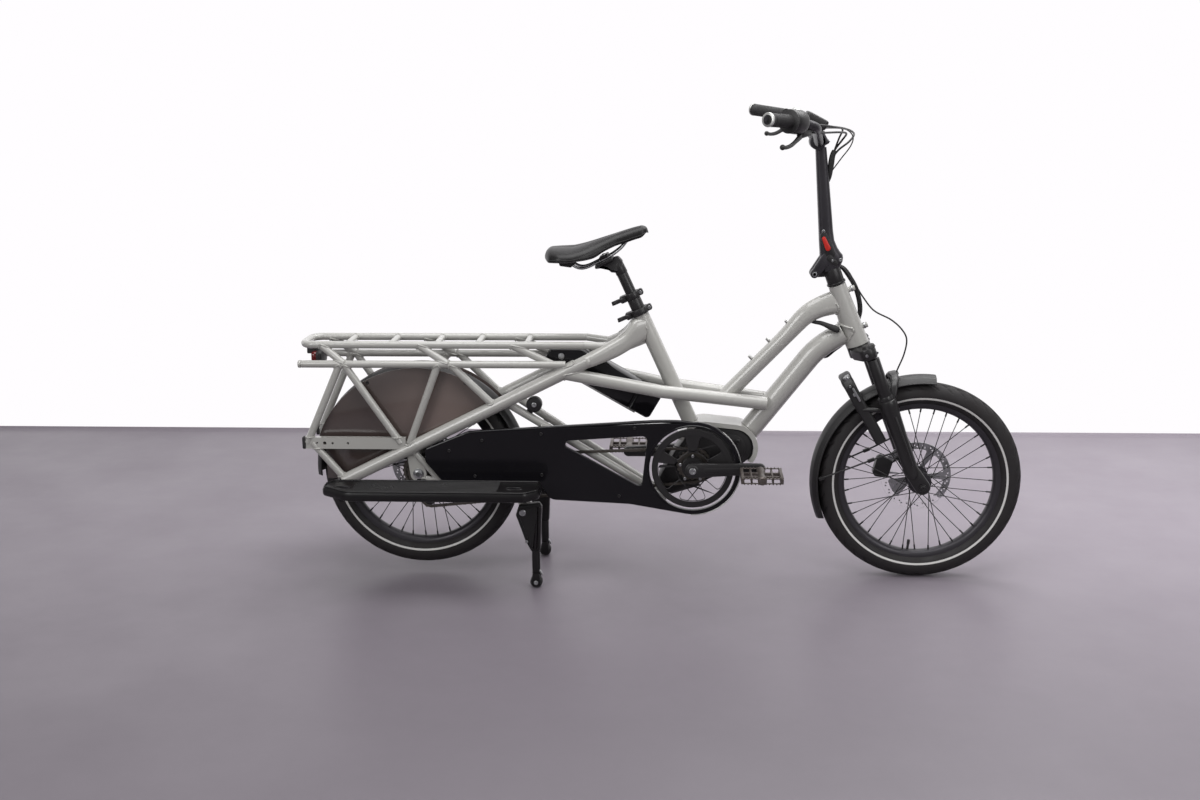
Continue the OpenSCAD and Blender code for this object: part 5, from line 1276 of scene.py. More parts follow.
place = 0.5 - 0.5 * np.cos(np.linspace(0, np.pi, SADDLE_N))
saddle_x = SADDLE_BACK + (SADDLE_NOSE - SADDLE_BACK) * place
half_w = np.interp(place, [0, 0.02, 0.06, 0.14, 0.26, 0.4, 0.55, 0.7, 0.85, 0.94, 0.985, 1],
                   [30, 50, 66, 79, 82, 70, 46, 31, 25, 22, 16, 5])
crown_z = np.interp(place, [0, 0.015, 0.06, 0.28, 0.41, 0.57, 0.73, 0.86, 0.94, 0.985, 1],
                    [854, 860, 864, 866, 875, 889, 903, 913, 918, 916, 906])
skirt = np.interp(place, [0, 0.05, 0.3, 0.44, 0.5, 0.56, 0.68, 0.78, 0.94, 1],
                  [22, 30, 30, 36, 38, 31, 27, 28, 26, 10])
half_w, crown_z, skirt = (softened(v, mode="edge") for v in (half_w, crown_z, skirt))
ends = np.clip(np.maximum((place - 0.93) / 0.07, (0.06 - place) / 0.06), 0, 1)
full = np.sqrt(np.maximum(1 - ends ** 2, 0.01))
crown_z, skirt, half_w = crown_z - skirt * (1 - full) / 2, skirt * full, half_w * (0.35 + 0.65 * full)


def saddle_skin():
    """Section angle s: over the top a soft arch (|cos|^0.75, |sin|^0.85), below it a hollow underside. The
    ends close as a circle does."""
    s = np.linspace(-np.pi / 2, np.pi / 2, 45)[None]
    y_top = half_w[:, None] * soft(np.sin(s), 0.85)
    dip = 3.2 * np.exp(-(y_top / 9) ** 2) * np.exp(-((place[:, None] - 0.42) / 0.3) ** 4)
    z_top = crown_z[:, None] - skirt[:, None] * (1 - np.abs(np.cos(s)) ** 0.75) - dip
    y_low = y_top[:, ::-1] * 0.93
    z_low = np.minimum(z_top[:, ::-1] - 2.5, crown_z[:, None] - skirt[:, None] * 0.82)
    x = np.broadcast_to(saddle_x[:, None], (SADDLE_N, 90))
    return skin(np.stack([x, np.hstack([y_top, y_low]), np.hstack([z_top, z_low])], -1), caps=True)


seat = piece("sculpted_saddle", [saddle_skin()], cover, "frame", ["saddle"])

# %% [markdown]
# ### Seam and saddle wires
# Where the cover is turned in at the skirt there is a seam, a thin cord that follows the same three
# lines. The saddle hangs on two bent wires that plug into its nose and into sockets at its rear.

# %% Seam and saddle wires
seam_pick = (place > 0.05) & (place < 0.97)
seam = np.column_stack([saddle_x, -half_w * 0.99 - 0.2, crown_z - skirt * 0.86])[seam_pick]
seam_cords = both(sweep(smooth_path(seam, 60), circle(1.1, 8), up=UP))
piece("saddle_seam", seam_cords, soft_rubber, "frame")
wire_line = smooth_path([[386, -27, 844], [396, -26, 830], [408, -24, 818], [424, -22, 812.4],
                         [442, -22, 815.6], [468, -22, 828], [500, -21, 844], [524, -20, 862],
                         [538, -18, 878], [548, -14, 890]], 60)
wires = both(sweep(wire_line, circle(3.5, 14), up=ACROSS))
piece("saddle_wires", wires, steel, "frame", ["saddle_rails"])
socket_view = rounded([[366, 842], [372, 820], [400, 816], [412, 826], [412, 846], [366, 850]], 4, 4)
piece("wire_sockets", both(plate(socket_view, -38, -14, 3)), grained, "frame")

# %% [markdown]
# ## Seat post
# The post slides in two stages, and each is held by a split collar with a quick lever. Its head is a
# forged neck with a clamp for the saddle's wires. Both collars are the same shape in two sizes, so one
# function makes them.

# %% Seat post
SEAT_TOP, SEAT_DIR = np.array([574.0, 0, 692.0]), np.array([-0.4131, 0, 0.9107])
SEAT_SIDE = np.array([0.9107, 0, 0.4131])
COLLAR_H, COLLARS = 17, ((692.4, 25), (733, 20.8))
WIRE_MID = np.array([484.0, 0, 836.0])
WIRE_DIR, WIRE_UP = np.array([0.8945, 0, 0.4472]), np.array([-0.4472, 0, 0.8945])


def post_at(z):
    """The place on the seat post's axis at a height."""
    return SEAT_TOP + (z - SEAT_TOP[2]) / SEAT_DIR[2] * SEAT_DIR


def collar(z, r, h):
    """A clamp: a ring with an ear and a quick lever behind, and a lug with a bolt in front."""
    foot = post_at(z)
    middle = foot + h / 2 * SEAT_DIR
    ear = slab(block(9, 9, 4, 4), middle - (r + 3) * SEAT_SIDE, SEAT_SIDE, SEAT_DIR, -11, 11, 2)
    start = middle - (r + 5) * SEAT_SIDE - 13 * ACROSS
    line = smooth_path([start, start + [-9, -3, -2], start + [-18, -2, -6], start + [-26, 2, -10]], 20)
    blade = sweep(line, block(2.6, 5.5, 2.2, 4), up=[0.3, 0, 1])
    pivot = rod(start - [0, 3, 0], start + [0, 30, 0], 5.5, k=20)
    nose = middle + (r + 2) * SEAT_SIDE
    lug = slab(block(7, 8, 5, 5), nose, SEAT_SIDE, SEAT_DIR, -8, 8, 2)
    ring = rod(foot, foot + h * SEAT_DIR, r, k=44, edge=2)
    return [ring, ear, blade, pivot, lug], screw(nose - 8 * ACROSS, RIGHT, 4.6, 3)


seat_shapes = [rod(post_at(640), post_at(822), 14, k=32),
               rod(post_at(692.4), post_at(733), 17.5, k=36, edge=1)]
collar_bolts = []
for z, r in COLLARS:
    ring_shapes, bolt = collar(z, r, COLLAR_H)
    seat_shapes += ring_shapes
    collar_bolts.append(bolt)
neck_view = rounded([[531, 797], [528, 830], [517, 841], [498, 836], [459, 818], [458, 808], [486, 812],
                     [500, 800]], [3, 8, 8, 14, 5, 4, 16, 3], 6)
seat_shapes += [plate(neck_view, -13.5, 13.5, 5), rod(post_at(796), post_at(824), 15.2, 14, k=32, edge=2)]
seat_shapes += [slab(view, WIRE_MID, WIRE_DIR, WIRE_UP, -29, 29, 2)
                for view in (oblong(-27, 18, -12, -3, 3, 4), oblong(-14, 12, 2, 8, 3, 4))]
piece("seat_post_and_collars", seat_shapes, powder, "frame", ["seat_post"])
clamp_bolts = [screw(WIRE_MID + 8 * WIRE_UP, WIRE_UP, 4.5, 3.5),
               rod(WIRE_MID - 16 * WIRE_UP, WIRE_MID + 8 * WIRE_UP, 3)]
piece("seat_bolts", clamp_bolts + collar_bolts, steel, "frame")

# %% [markdown]
# ## Footboards
# A footboard is a hollow moulding seen from above: its outline is drawn once, given a height, and carries
# a raised rim, long ribs for grip and an oval pocket near each end. The ribs are half sunk rods, because
# a rod's round back is just what shows.

# %% Footboards
BOARD_LOW, BOARD_TOP, BOARD_MID_Y, POCKET_Y, RIB_R = 259.0, 285.0, -175, -186, 1.9
POCKET_PLACES, FOOT_PLACES = (-172.0, 262.0), (-178.0, 228.0)
ORIGIN = [0, 0, 0]
board_view = rounded([[-224, -150], [-206, -120], [327, -120], [327, -200], [292, -230], [-156, -230],
                      [-224, -182]], [12, 12, 14, 26, 30, 60, 16], 7)
pocket = circle(1.0, 40) * [21, 9]


def footboard():
    """The board, its raised rim, its grip ribs (half sunk rods) and the rim of each pocket."""
    rim = np.column_stack([inset(board_view, 5.5), np.full(len(board_view), BOARD_TOP - 1.6)])
    shapes = [slab(board_view, ORIGIN, AHEAD, ACROSS, BOARD_LOW, BOARD_TOP - 1.5, 7),
              sweep(rim, circle(2.6, 10), up=UP, closed=True)]
    shapes += [rod([-146 + 0.25 * abs(y - BOARD_MID_Y), y, BOARD_TOP - RIB_R], [222, y, BOARD_TOP - RIB_R],
                   RIB_R, k=10, edge=1) for y in np.linspace(-213, -137, 9)]
    shapes += [sweep(np.column_stack([pocket * 1.08 + [x, POCKET_Y], np.full(40, BOARD_TOP - 1.4)]),
                     circle(1.5, 8), up=UP, closed=True) for x in POCKET_PLACES]
    shapes += [rod([x, BOARD_MID_Y, BOARD_LOW - 1.5], [x, BOARD_MID_Y, BOARD_LOW + 4], 14, k=28)
               for x in FOOT_PLACES]
    return shapes


for side in ("right", "left"):
    shapes = footboard()
    pockets = [slab(pocket + [x, POCKET_Y], ORIGIN, AHEAD, ACROSS, BOARD_TOP - 4, BOARD_TOP - 1.2, 1.0)
               for x in POCKET_PLACES]
    if side == "left":
        shapes, pockets = mirrored(shapes), mirrored(pockets)
    piece(f"ribbed_footboard_{side}", shapes, scuffed_powder, "frame", [f"footboard_{side}"])
    piece(f"footboard_pockets_{side}", pockets, gloss_black, "frame")

# %% [markdown]
# ## Stand
# The stand is a folded leg on each side, joined by a round shaft, with a roller in a fork at each foot so
# that the bike can be walked along upright. Each leg is a plate with a raised face and a thin round bar
# below it.

# %% Stand
FOOT_C = np.array([307.0, 15.5])
leg_view = rounded([[258, 196], [266, 221], [318, 229], [325, 218], [319, 98], [296, 98], [281, 128]],
                   [9, 10, 8, 8, 8, 8, 30], 6)
cheek_view = rounded([[-12, -9], [12, -9], [9, 24], [-9, 24]], 4, 5)
stand = both(plate(leg_view, -132, -108, 4.5), rod([307, -120, 114], [307, -120, 26], 10.5, k=28, edge=2),
             plate(rounded(inset(leg_view, 9), 0.01, 1), -133.2, -130, 0.8))
stand.append(rod([276, -131, 204], [276, 131, 204], 7, k=28))
stand += both(*[slab(cheek_view, [307, y, 16], AHEAD, UP, -2.6, 0.4, 0.8) for y in (-134.4, -105.4)])
piece("folded_stand_legs", stand, scuffed_powder, "stand", ["stand_legs"])
roller_view = [[4, -132], [13, -132], [15.5, -128], [15.5, -112], [13, -108], [4, -108]]
rollers = both(turned(roller_view, FOOT_C, n=48))
piece("stand_rubber_rollers", rollers, soft_rubber, "stand", ["stand_rollers"])
stand_bolts = both(screw([276, -132.5, 204], RIGHT, 8.5, 4), screw([285, -133, 126], RIGHT, 4, 2.5),
                   screw([307, -134.6, 15.5], RIGHT, 5.5, 2.4),
                   slab(block(9, 6, 2, 4), [319, -120, 40], [0.5, 0, -0.87], ACROSS, -2, 1.5, 0.6))
piece("stand_bolts", stand_bolts, steel, "stand")

# %% [markdown]
# ## Rear mudguard, panels and lamp
# The rear mudguard repeats the front one's section. The smoked panels keep coats out of the wheel: each
# is a thin sheet that ends along the stay, so its corner is worked out as the place where the stay's line
# meets the sheet's circle. The lamp has a ribbed red lens in a black case.

# %% Rear mudguard and panels
POST_TURNS, POST_R = np.radians([62, 118, 166]), 269.0
PANEL_R, PANEL_END, PANEL_LOW, BAR_Z = 276.0, -243.0, 266, 368.0
STAY_WAY_UP, STAY_FOOT = unit([635.0, 318.0]), np.array([-195.0, 265.0])
post_spots = REAR_C + POST_R * around(POST_TURNS)
rear_guard = mudguard(REAR_C, 20.5, 183.5, 110)
rear_guard += both(*[rod([x, -46, z], [x, -26, z], 4) for x, z in post_spots])
piece("rear_mudguard_shell", rear_guard, grained, "frame", ["rear_mudguard"])
gap = STAY_FOOT - REAR_C
reach_up = -gap @ STAY_WAY_UP + math.sqrt((gap @ STAY_WAY_UP) ** 2 - gap @ gap + PANEL_R ** 2)
meet = gap + reach_up * STAY_WAY_UP
panel_arc = np.linspace(math.atan2(meet[1], meet[0]), math.pi - math.asin((BAR_Z - REAR_C[1]) / PANEL_R), 70)
panel_view = np.vstack([REAR_C + PANEL_R * around(panel_arc),
                        [[PANEL_END, BAR_Z], [PANEL_END, PANEL_LOW], STAY_FOOT]])
panels = both(plate(panel_view, -48.6, -46.2, 0.3))
piece("smoked_wheel_panels", panels, smoked, "frame", ["wheel_guards"])
panel_bolts = both(*[screw([x, -48.6, z], RIGHT, 4, 2.2) for x, z in post_spots])
piece("panel_bolts", panel_bolts, powder, "frame")
lamp = [slab(oblong(-30, 30, 565, 597, 9, 6), ORIGIN, ACROSS, UP, -274.6, -258, 5)]
lamp += [rod([-274.2, y, 570], [-274.2, y, 592], 1.1, k=8) for y in np.linspace(-22, 22, 9)]
piece("tail_lens", lamp, lens_red, "frame", ["tail_light"])
hanger_view = rounded([[-15, 590], [15, 590], [12, 618], [-12, 618]], 4, 5)
hanger = [slab(oblong(-31, 31, 563.5, 598.5, 9, 6), ORIGIN, ACROSS, UP, -262, -247, 3),
          slab(hanger_view, ORIGIN, ACROSS, UP, -288, -262, 2)]
piece("tail_lamp_case", hanger, grained, "frame")

# %% [markdown]
# ## Plugs, derailleur, nuts and idler
# Open tube ends get black plugs. The derailleur hangs under the axle and keeps the chain tight with two
# small wheels, and an idler by the battery guides a cable.

# %% Plugs, derailleur, nuts and idler
JOCKEY, GUIDE, IDLER = np.array([26.0, 214.0]), np.array([21.0, 246.0]), np.array([303.0, 468.0])
plugs = both(plate(oblong(-297, -288, 352.3, 383.7, 2.5, 4), -77.8, -62.2, 1.5))
piece("rubber_tube_plugs", plugs, soft_rubber, "frame", ["tube_plugs"])
rail_caps = both(rod([-297, -70, 575], [-288.5, -70, 575], 9.8, k=32, edge=2))
piece("rail_end_caps", rail_caps, enamel, "frame")
cage = [capsule(JOCKEY, GUIDE, 15, 12), ring_at(JOCKEY, 6, 20), ring_at(GUIDE, 5, 20)]
mech = [cutout(cage, -59.5, -57.5, 0.4),
        plate(capsule([14, 264], [4, 262], 11, 14), -66, -55, 3),
        plate(capsule([16, 262], [22, 242], 9, 7), -66, -58, 2.5),
        rod([14, -72, 264], [14, -54, 264], 8, k=28, edge=2)]
piece("derailleur_body", mech, powder, "frame", ["derailleur"])
wheels_small = [cutout([teeth(JOCKEY, 18, 12), ring_at(JOCKEY, 3, 16)], -51, -47, 0.5)]
wheels_small += [rod([x, -57.5, z], [x, -46, z], 3) for x, z in (JOCKEY, GUIDE)]
piece("jockey_wheels", wheels_small, soft_rubber, "frame")
nut_line = [[REAR_C[0], y, REAR_C[1]] for y in (-66.4, -67, -73, -73.8)]
nuts = both(sweep(nut_line, circle(1, 6), up=UP, grow=[10, 11, 11, 9.5]),
            rod([0, -66.9, 284.5], [0, -65.5, 284.5], 14, k=32, edge=0.5))
nuts += [screw([14, -72, 264], RIGHT, 5, 2.4), screw([26, -59.6, 214], RIGHT, 4.5, 2)]
piece("axle_nuts", nuts, steel, "frame")
idler = [turned([[5, -60], [17, -60], [20, -58], [20, -42], [17, -40], [5, -40]], IDLER, n=48),
         plate(capsule(IDLER, [286, 441], 10, 8), -50, -44, 1.5)]
piece("cable_idler", idler, grained, "frame")
piece("idler_bolt", [screw([303, -60, 468], RIGHT, 6.5, 3)], steel, "frame")

# %% [markdown]
# ## Motor
# The motor is a die-cast case in the middle of the frame, and the crank runs through it. Its outline is
# the tight line round four circles, the same rule as for the chain; a raised cover and a collar are on
# each side.

# %% Motor
MOTOR_SCREWS = ((826, 372), (826, 330), (770, 396), (736, 270), (664, 254))
motor = [plate(round_hull([[707, 309, 57], [735, 362, 47], [812, 352, 49], [655, 262, 35]]), -36, 36, 7)]
motor += both(plate(round_hull([[707, 309, 46], [735, 358, 36], [806, 352, 36]]), -39, -33, 3),
              turned([[13, -44], [27, -44], [30, -41], [30, -36], [13, -36]], CRANK_C, n=48))
piece("motor_housing", motor, grained, "frame", ["motor"])
motor_screws = both(*[screw([x, -38.6, z], RIGHT, 4, 2.6) for x, z in MOTOR_SCREWS])
shell_bolts = both(screw([822, -42, 369], RIGHT, 6.5, 3))
piece("motor_screws", motor_screws + shell_bolts, powder, "frame")

# %% [markdown]
# ## Battery
# The battery is a long case that lies on a slope behind the seat tube, cut off level at the rack. It is
# drawn along its own slope, so that its sides stay parallel. A seam shows before its front cap, a metal
# rail runs below it, and its lock is near the rear end.

# %% Battery
PACK_SLOPE, PACK_C = math.radians(30), np.array([478.0, 533.0])
PACK_HALF, PACK_DEEP, LID_Z, PACK_Y = 154.0, 36.5, 606.5, 33
PACK_X = np.array([math.cos(PACK_SLOPE), -math.sin(PACK_SLOPE)])
PACK_UP = np.array([math.sin(PACK_SLOPE), math.cos(PACK_SLOPE)])
LOCK_C = np.array([372.8, 0, 589.3])


def on_pack(*places):
    """Side-view places on the battery: so far along its slope and so far above its middle line."""
    return np.array([PACK_C + far * PACK_X + high * PACK_UP for far, high in places])


def at_lid(corner, way):
    """Where a line from a corner reaches the level lid."""
    return corner + (LID_Z - corner[1]) / way[1] * way


tail_foot, top_line = on_pack((-PACK_HALF, -PACK_DEEP), (0, PACK_DEEP))
body_view = np.vstack([tail_foot, at_lid(tail_foot, PACK_UP), at_lid(top_line, PACK_X),
                       on_pack((94, PACK_DEEP), (94, -PACK_DEEP))])
cap_view = on_pack((96, PACK_DEEP), (PACK_HALF, PACK_DEEP), (PACK_HALF, -PACK_DEEP), (96, -PACK_DEEP))
core_view = on_pack((80, PACK_DEEP - 3), (110, PACK_DEEP - 3), (110, 3 - PACK_DEEP), (80, 3 - PACK_DEEP))
pack = [plate(rounded(body_view, [9, 8, 14, 3, 3], 6), -PACK_Y, PACK_Y, 5),
        plate(rounded(cap_view, [3, 12, 12, 3], 6), -PACK_Y, PACK_Y, 5),
        plate(rounded(core_view, 2, 3), 3 - PACK_Y, PACK_Y - 3, 2)]
piece("battery_case", pack, gloss_black, "frame", ["battery"])
keel = on_pack((-92, 2 - PACK_DEEP), (112, 2 - PACK_DEEP), (118, -4.5 - PACK_DEEP), (-92, -4.5 - PACK_DEEP))
piece("battery_rail", [plate(rounded(keel, 2, 4), -27, 27, 1.5)], alloy, "frame")
pack_lock = [rod(LOCK_C + [0, -36.5, 0], LOCK_C + [0, -31, 0], 8, k=28),
             screw(LOCK_C + [0, -36.4, 0], RIGHT, 5, 1.5)]
piece("battery_lock", pack_lock, steel, "frame")

# %% [markdown]
# ## Welds
# Hand-welded aluminium shows a rippled bead wherever two tubes meet. For each line along the first tube
# the distance to the second tube's axis is a quadratic, so the meeting curve is solved for all lines at
# once, and a thin bead is swept along it.

# %% Bead tools
BEAD_R, POOL_SHARE = 2.3, 0.16


def tube_lines(start, way, r, k):
    """k lines on a tube's wall: their angles, their outward directions and their first places."""
    n1 = unit(np.cross(way, across_of(way)))
    a = np.linspace(0, 2 * np.pi, k, endpoint=False)[:, None]
    out = np.cos(a) * n1 + np.sin(a) * np.cross(way, n1)
    return a[:, 0], out, np.asarray(start, float) + r * out


def rippled(path, out, a, size):
    """A bead along a closed curve; its size ripples once in three points, as a row of weld pools does."""
    pools = 1 + POOL_SHARE * np.sin(a * (len(a) // 3))
    return sweep(path, circle(1.0, 8), up=out, grow=size * pools, closed=True)


def bead(start, way, r, through, axis, s, size=BEAD_R):
    """The curve where a tube of radius r (from start, along way) meets one of radius s round an axis. Lines
    that miss the second tube stop where they pass nearest."""
    way, axis = unit(way), unit(axis)
    a, out, base = tube_lines(start, way, r, 72)
    gap = base - np.asarray(through, float)
    gap, step = gap - (gap @ axis)[:, None] * axis, way - (way @ axis) * axis
    b = gap @ step
    root = np.sqrt(np.maximum(b ** 2 - (step @ step) * ((gap ** 2).sum(1) - s ** 2), 0))
    return rippled(base + ((-b - root) / (step @ step))[:, None] * way, out, a, size)


def flat_bead(start, way, r, level, size=BEAD_R):
    """The same where a tube meets a level face."""
    way = unit(way)
    a, out, base = tube_lines(start, way, r, 60)
    return rippled(base + ((level - base[:, 2]) / way[2])[:, None] * way, out, a, size)


def joint(foot, head, r, other):
    """A bead at the head of the tube from foot to head, where it meets another tube."""
    return bead(foot, np.subtract(head, foot), r, *other)


print("a bead has", len(bead([0, 0, 0], AHEAD, 5, [50, 0, 0], UP, 9)[0]), "points")

# %% [markdown]
# ### The joints of the frame
# Each tube that others are welded to is written once, as a place on its axis, its direction and its
# radius. The lists then only name the two ends of each welded tube, in the order of the frame: struts,
# rack, stays, head.

# %% Weld beads
THIN_R, RAIL_Z, DECK_Z = 9.5, 575, 622
RAIL, DECK = ([0, -70, RAIL_Z], AHEAD, THIN_R), ([0, -55, DECK_Z], AHEAD, THIN_R)
STAY, UPPER = ([440, -66, 583], [635, 0, 318], 17.0), ([440, -66, 583], [122, 52, 61], 17.0)
LOWER, MIDDLE = ([228, -52, 474], [412, 38, -264], 10.5), ([626, -52, 503], [-241, -14, 49], 16.5)
SEAT, CHAIN_STAY = (SEAT_TOP, SEAT_DIR, 20.0), ([6, -62, 274], [256, 0, -43], 7.0)
STAY_STRUTS = (-18, 200)
beads = []
for low, low_z, top in ((-284, 368, -190), (-42, 368, -180), (-18, 368, 62), (200, 470, 93)):
    foot, head = [low, -70, low_z], [top, -70, RAIL_Z]
    beads.append(joint(foot, head, THIN_R, RAIL))
    if low in STAY_STRUTS:
        beads.append(joint(head, foot, THIN_R, STAY))
    else:
        beads.append(flat_bead(head, np.subtract(foot, head), THIN_R, 383))
beads += [joint([-272, -70, 368], [-195, -66, 273], THIN_R, STAY),
          flat_bead([-195, -66, 273], [-77, -4, 95], THIN_R, 353)]
for high, low in ((-240, -178), (10, 88)):
    foot, head = [high, -55, DECK_Z], [low, -70, RAIL_Z]
    beads += [joint(foot, head, THIN_R, RAIL), joint(head, foot, THIN_R, DECK)]
beads += [joint([386, -66, 559], [248, -55, DECK_Z], THIN_R, DECK),
          joint([248, -55, DECK_Z], [386, -66, 559], THIN_R, STAY)]
beads += [joint([x, 0, DECK_Z], [x, -55, DECK_Z], 8, DECK) for x in (-173, -61, 56, 161, 286)]
beads += [joint([440, -66, 583], [562, -14, 644], 17, SEAT),
          joint([200, -70, RAIL_Z], [386, -70, RAIL_Z], THIN_R, STAY),
          joint([508, -34, 616], [432, -55, DECK_Z], THIN_R, UPPER),
          joint([626, -52, 503], [385, -66, 552], 16.5, STAY),
          joint([640, -14, 210], [228, -52, 474], 10.5, STAY),
          joint([262, -62, 231], [325, -62, 404], 7, LOWER), joint([697, 0, 421], [574, 0, 692], 20, MIDDLE)]
HEAD_BEADS = (([1041.6, 0, 709], math.radians(12), 20, 25.2, 2.8),
              ([1054, 0, 627.3], math.radians(30.2), 28, 27.4, 3))
at_head = [bead(start, [math.cos(a), 0, math.sin(a)], r, HEAD_TOP, STEER_UP, s, size=size)
           for start, a, r, s, size in HEAD_BEADS]
right_side = [joint([58, -63.5, 262], [-12, -63.5, 347], 8, STAY),
              joint([-12, -63.5, 347], [58, -63.5, 262], 8, CHAIN_STAY)]
left_side = mirrored([joint([58, -70, 262], [-12, -70, 347], 8, STAY)])
print("weld beads:", 2 * len(beads) + len(at_head + right_side + left_side))

# %% [markdown]
# ### Flared stay ends
# Near the seat tube each stay opens out into a tall flat end, pressed from the tube before it is welded.
# Its upper and lower lines are given along the stay, and soft squares are drawn between them, as on the
# post.

# %% Flared stay ends
KNEE, STAY_OUT, FLARE_HALF = np.array([440.0, -66, 583]), np.array([0.9199, 0.3921, 0]), 17.2
far_along = np.linspace(4, 154, 46)
flare_low = np.interp(far_along, [0, 20, 45, 80, 120, 154], [-17, -12, -5, 6, 25, 42])
flare_top = np.interp(far_along, [0, 40, 80, 96, 106, 114, 122, 132, 154],
                      [17, 35.5, 54, 63, 73, 86, 96, 101, 104])
flare_low, flare_top = (softened(v, mode="reflect", reflect_type="odd") for v in (flare_low, flare_top))


def flared_stay():
    """Soft squares between a low and a top line, 17 mm to each side of the stay's own upright plane."""
    a = np.linspace(0, 2 * np.pi, 48, endpoint=False)[None]
    c, s = soft(np.cos(a), 0.72), soft(np.sin(a), 0.72)
    level = ((flare_top + flare_low)[:, None] + (flare_top - flare_low)[:, None] * s) / 2
    side = np.array([-STAY_OUT[1], STAY_OUT[0], 0])
    grid = (KNEE + far_along[:, None, None] * STAY_OUT + FLARE_HALF * c[..., None] * side
            + level[..., None] * UP)
    return skin(grid, caps=True)


piece("flared_stay_ends", both(flared_stay()), enamel, "frame")
piece("weld_beads", both(*beads) + at_head + right_side + left_side, weld_enamel, "frame")
boss_spots = [on_fork(HEAD_TOP, up=-down) for down in (22, 122)]
boss_screws = [rod(on_fork(p, 29), on_fork(p, 34), 8, k=24) for p in boss_spots]
boss_screws += [screw(on_fork(p, 36), STEER_AHEAD, 5.5, 3.5) for p in boss_spots]
piece("boss_screws", boss_screws, steel, "frame")

# %% [markdown]
# ## Swollen top tube end
# Before it meets the head tube the top tube swells upwards, as a tube does that was pressed out in a
# mould. The middle line is a straight run, an arc and a straight run; the upper half of each ring is
# stretched outwards.

# %% Swollen top tube end
BEND_C, BEND_R, TUBE_R = np.array([1068.6, 581.8]), 130.0, 20.0
STEEP, FLAT_LEAN = math.radians(46), math.radians(12)
way_on = np.linspace(-60, 110, 60)
lean = STEEP - np.clip(way_on / BEND_R, 0, STEEP - FLAT_LEAN)
past = np.minimum(way_on, 0) + np.maximum(way_on - BEND_R * (STEEP - FLAT_LEAN), 0)
tube_out = np.column_stack([-np.sin(lean), np.cos(lean)])
mid_line = BEND_C + BEND_R * tube_out + past[:, None] * around(lean)
swell = np.interp(way_on, [-60, -30, 0, 30, 60, 80, 110], [0, 2, 5.5, 9, 13, 17, 22])


def swollen_tube():
    """Half circles over the tube's upper side, stretched outwards by the swelling; the lower side lies in the
    tube."""
    a = np.linspace(0, 2 * np.pi, 40, endpoint=False)[None]
    up = (TUBE_R - 0.6) * np.sin(a) + (swell[:, None] + 0.6) * np.maximum(np.sin(a), 0) ** 0.8
    flat = mid_line[:, None] + up[..., None] * tube_out[:, None]
    across = np.broadcast_to((TUBE_R - 0.2) * np.cos(a), up.shape)
    return skin(np.stack([flat[..., 0], across, flat[..., 1]], -1), caps=True)


piece("swollen_top_tube_end", [swollen_tube()], enamel, "frame")

# %% [markdown]
# ## Cable boot and pegs
# A rubber boot beside the head tube covers where a cable goes into the frame, and three short pegs stand
# on the top tube. The boot is a sweep that swells and closes again; the pegs are rods that taper.

# %% Cable boot and pegs
PEG_PLACES, TUBE_UP = ((851, 583), (894.5, 628), (941, 674)), np.array([-0.7071, 0, 0.7071])
boot_line = smooth_path([[1000, 0, 676], [1012, -4, 673.5], [1028, -12, 672], [1044, -22, 667],
                         [1060, -28, 661], [1072, -30, 656]], 30)
boot_r = np.interp(np.linspace(0, 1, 30), [0, 0.2, 0.5, 0.8, 0.93, 0.98, 1], [4.5, 5, 6, 8.2, 8.2, 6.4, 3.5])
boot = sweep(boot_line, circle(1, 20), up=UP, grow=boot_r)
piece("cable_boot", [boot], soft_rubber, "frame")
peg_feet = [np.array([x, 0, z]) for x, z in PEG_PLACES]
pegs = [rod(foot - 7 * TUBE_UP, foot + 4 * TUBE_UP, 4.4, 3.8, k=20, edge=1.2) for foot in peg_feet]
piece("tube_pegs", pegs, alloy, "frame")
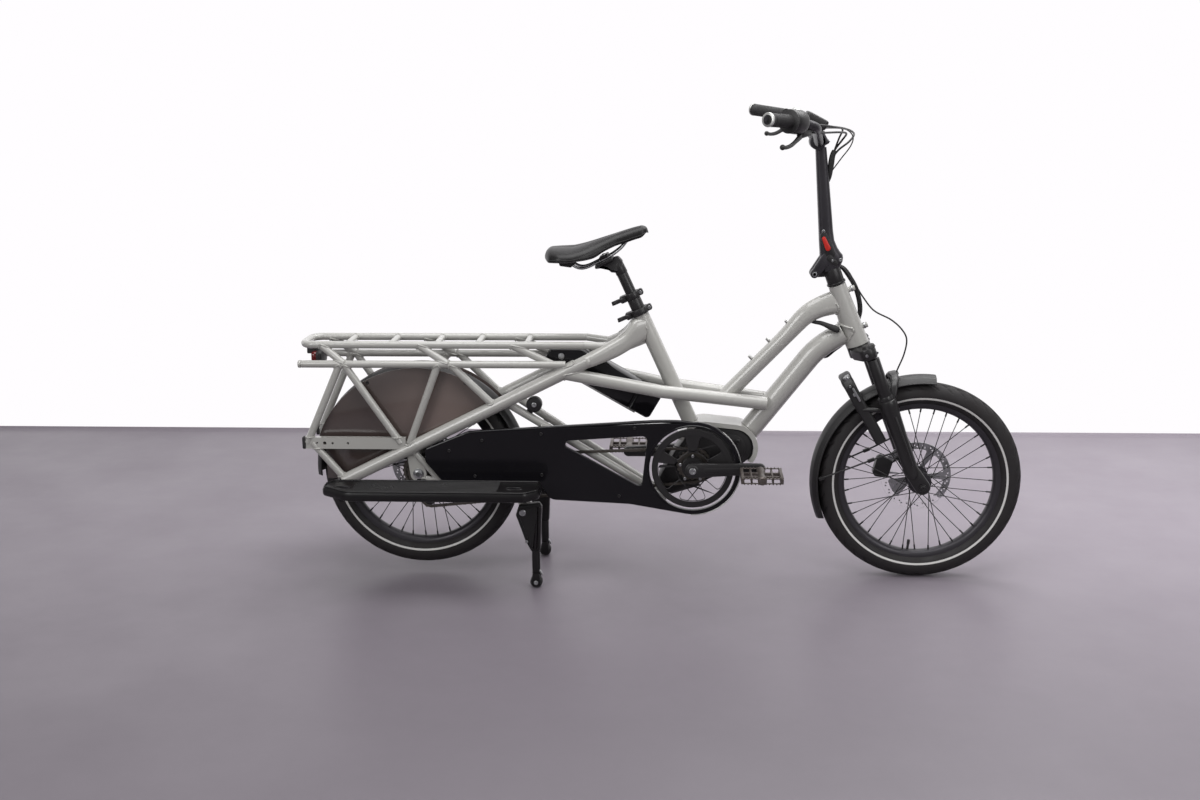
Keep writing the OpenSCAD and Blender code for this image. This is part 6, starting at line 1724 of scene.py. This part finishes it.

# %% [markdown]
# ## Cables
# A cable is a thin sweep along a smooth path that was read off the photograph. The loops at the bar fold
# with the post, and each is given with its thickness.

# %% Cables
BUNDLE = np.array([[1066, 6, 817], [1080, 7, 808], [1096, 9, 788], [1112, 13, 762], [1123, 16, 730],
                   [1128, 21, 700], [1126, 30, 676], [1118, 37, 650], [1104, 37, 627], [1088, 28, 610],
                   [1066, 14, 597], [1046, 8, 582], [1034, 5, 584]], float)
BUNDLE_ENDS = ([1085, 7, 803], [1127, 20, 690])
STRANDS = ([0.0, -3.2, 0.0], [3.4, 3.4, 2.0], [-3.4, 3.4, -2.0])
LOOPS = [
    ("lamp_wire", 4, "fork", [[1068, 10, 818], [1084, 12, 810], [1099, 12, 792], [1114, 9, 764],
                              [1133, 4, 734], [1160, 0, 702], [1203, 0, 679], [1231, 0, 654],
                              [1244, 0, 628], [1239, 0, 591], [1226, 0, 556], [1220, 0, 541]]),
    ("right_brake_hose", 5, "handlepost", [[968, -196, 1152], [985, -180, 1152], [1010, -150, 1150],
                                           [1050, -95, 1148], [1072, -40, 1142], [1066, -8, 1125],
                                           [1052, 2, 1104], [1045, 2, 1088]]),
    ("left_brake_hose", 5, "handlepost", [[968, 196, 1152], [985, 182, 1152], [1020, 150, 1152],
                                          [1072, 90, 1150], [1098, 35, 1140], [1086, 6, 1122],
                                          [1060, 0, 1102], [1047, -1, 1086]]),
    ("display_wire", 3, "handlepost", [[1008, 8, 1150], [1035, 14, 1153], [1075, 10, 1150], [1093, 4, 1133],
                                       [1088, 2, 1110], [1066, 1, 1080], [1044, 0, 1050]]),
    ("shifter_cable", 4.5, "handlepost", [[958, -212, 1166], [972, -194, 1168], [1000, -160, 1168],
                                          [1040, -100, 1160], [1062, -45, 1152], [1058, -12, 1130],
                                          [1049, -4, 1102], [1044, -3, 1088]]),
]


def cable(name, points, d, body, n=90, ends=None):
    """A round cable through the given points. When ends is given, the cable is fixed in the scene and rides
    on no body; the places in ends are not used."""
    path = smooth_path(points, n)
    shape, faces = sweep(path, circle(d / 2, 12), up=across_of(path[-1] - path[0]))
    obj = object_from(name, row(shape), faces, hose)
    if ends is None:
        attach(obj, body)
    else:
        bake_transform(obj)


spread = np.interp(np.arange(len(BUNDLE)), [0, 2, 5, 8, 11, 12], [0.4, 0.8, 1, 1, 0.9, 0.6])[:, None]
for k, offset in enumerate(STRANDS):
    cable(f"steering_cable_{k + 1}", BUNDLE + spread * np.array(offset), 5.5, None, ends=BUNDLE_ENDS)
for name, thickness, body, points in LOOPS:
    cable(name, points, thickness, body)
sleeve_line = smooth_path([[1049, 0, 1100], [1044, 0, 1084], [1041, 0, 1060], [1039, 0, 1040],
                           [1035, 0, 1022]], 24)
sleeve_r = np.interp(np.linspace(0, 1, 24), [0, 0.06, 0.4, 0.85, 1], [5, 6.6, 7.6, 5.5, 3.5])
sleeve = sweep(sleeve_line, circle(1, 20), up=ACROSS, grow=sleeve_r)
piece("cable_sleeve", [sleeve], soft_rubber, "handlepost")

# %% [markdown]
# ## Valves
# Each tyre is pumped up through a valve that stands on the rim between two spokes. It is a thin stem with
# a thicker cap, two rods that point at the axle.

# %% Valves
STEM_ENDS, CAP_ENDS = (194, 176), (177, 164)
for end, centre, angle in (("front", FRONT_C, -96), ("rear", REAR_C, 64)):
    stem, cap = ([spot(centre, r, math.radians(angle), 0) for r in ends] for ends in (STEM_ENDS, CAP_ENDS))
    piece(f"{end}_valve", [rod(*stem, 3.2, k=16), rod(*cap, 4, k=16, edge=1.5)], soft_rubber, f"{end}_wheel")
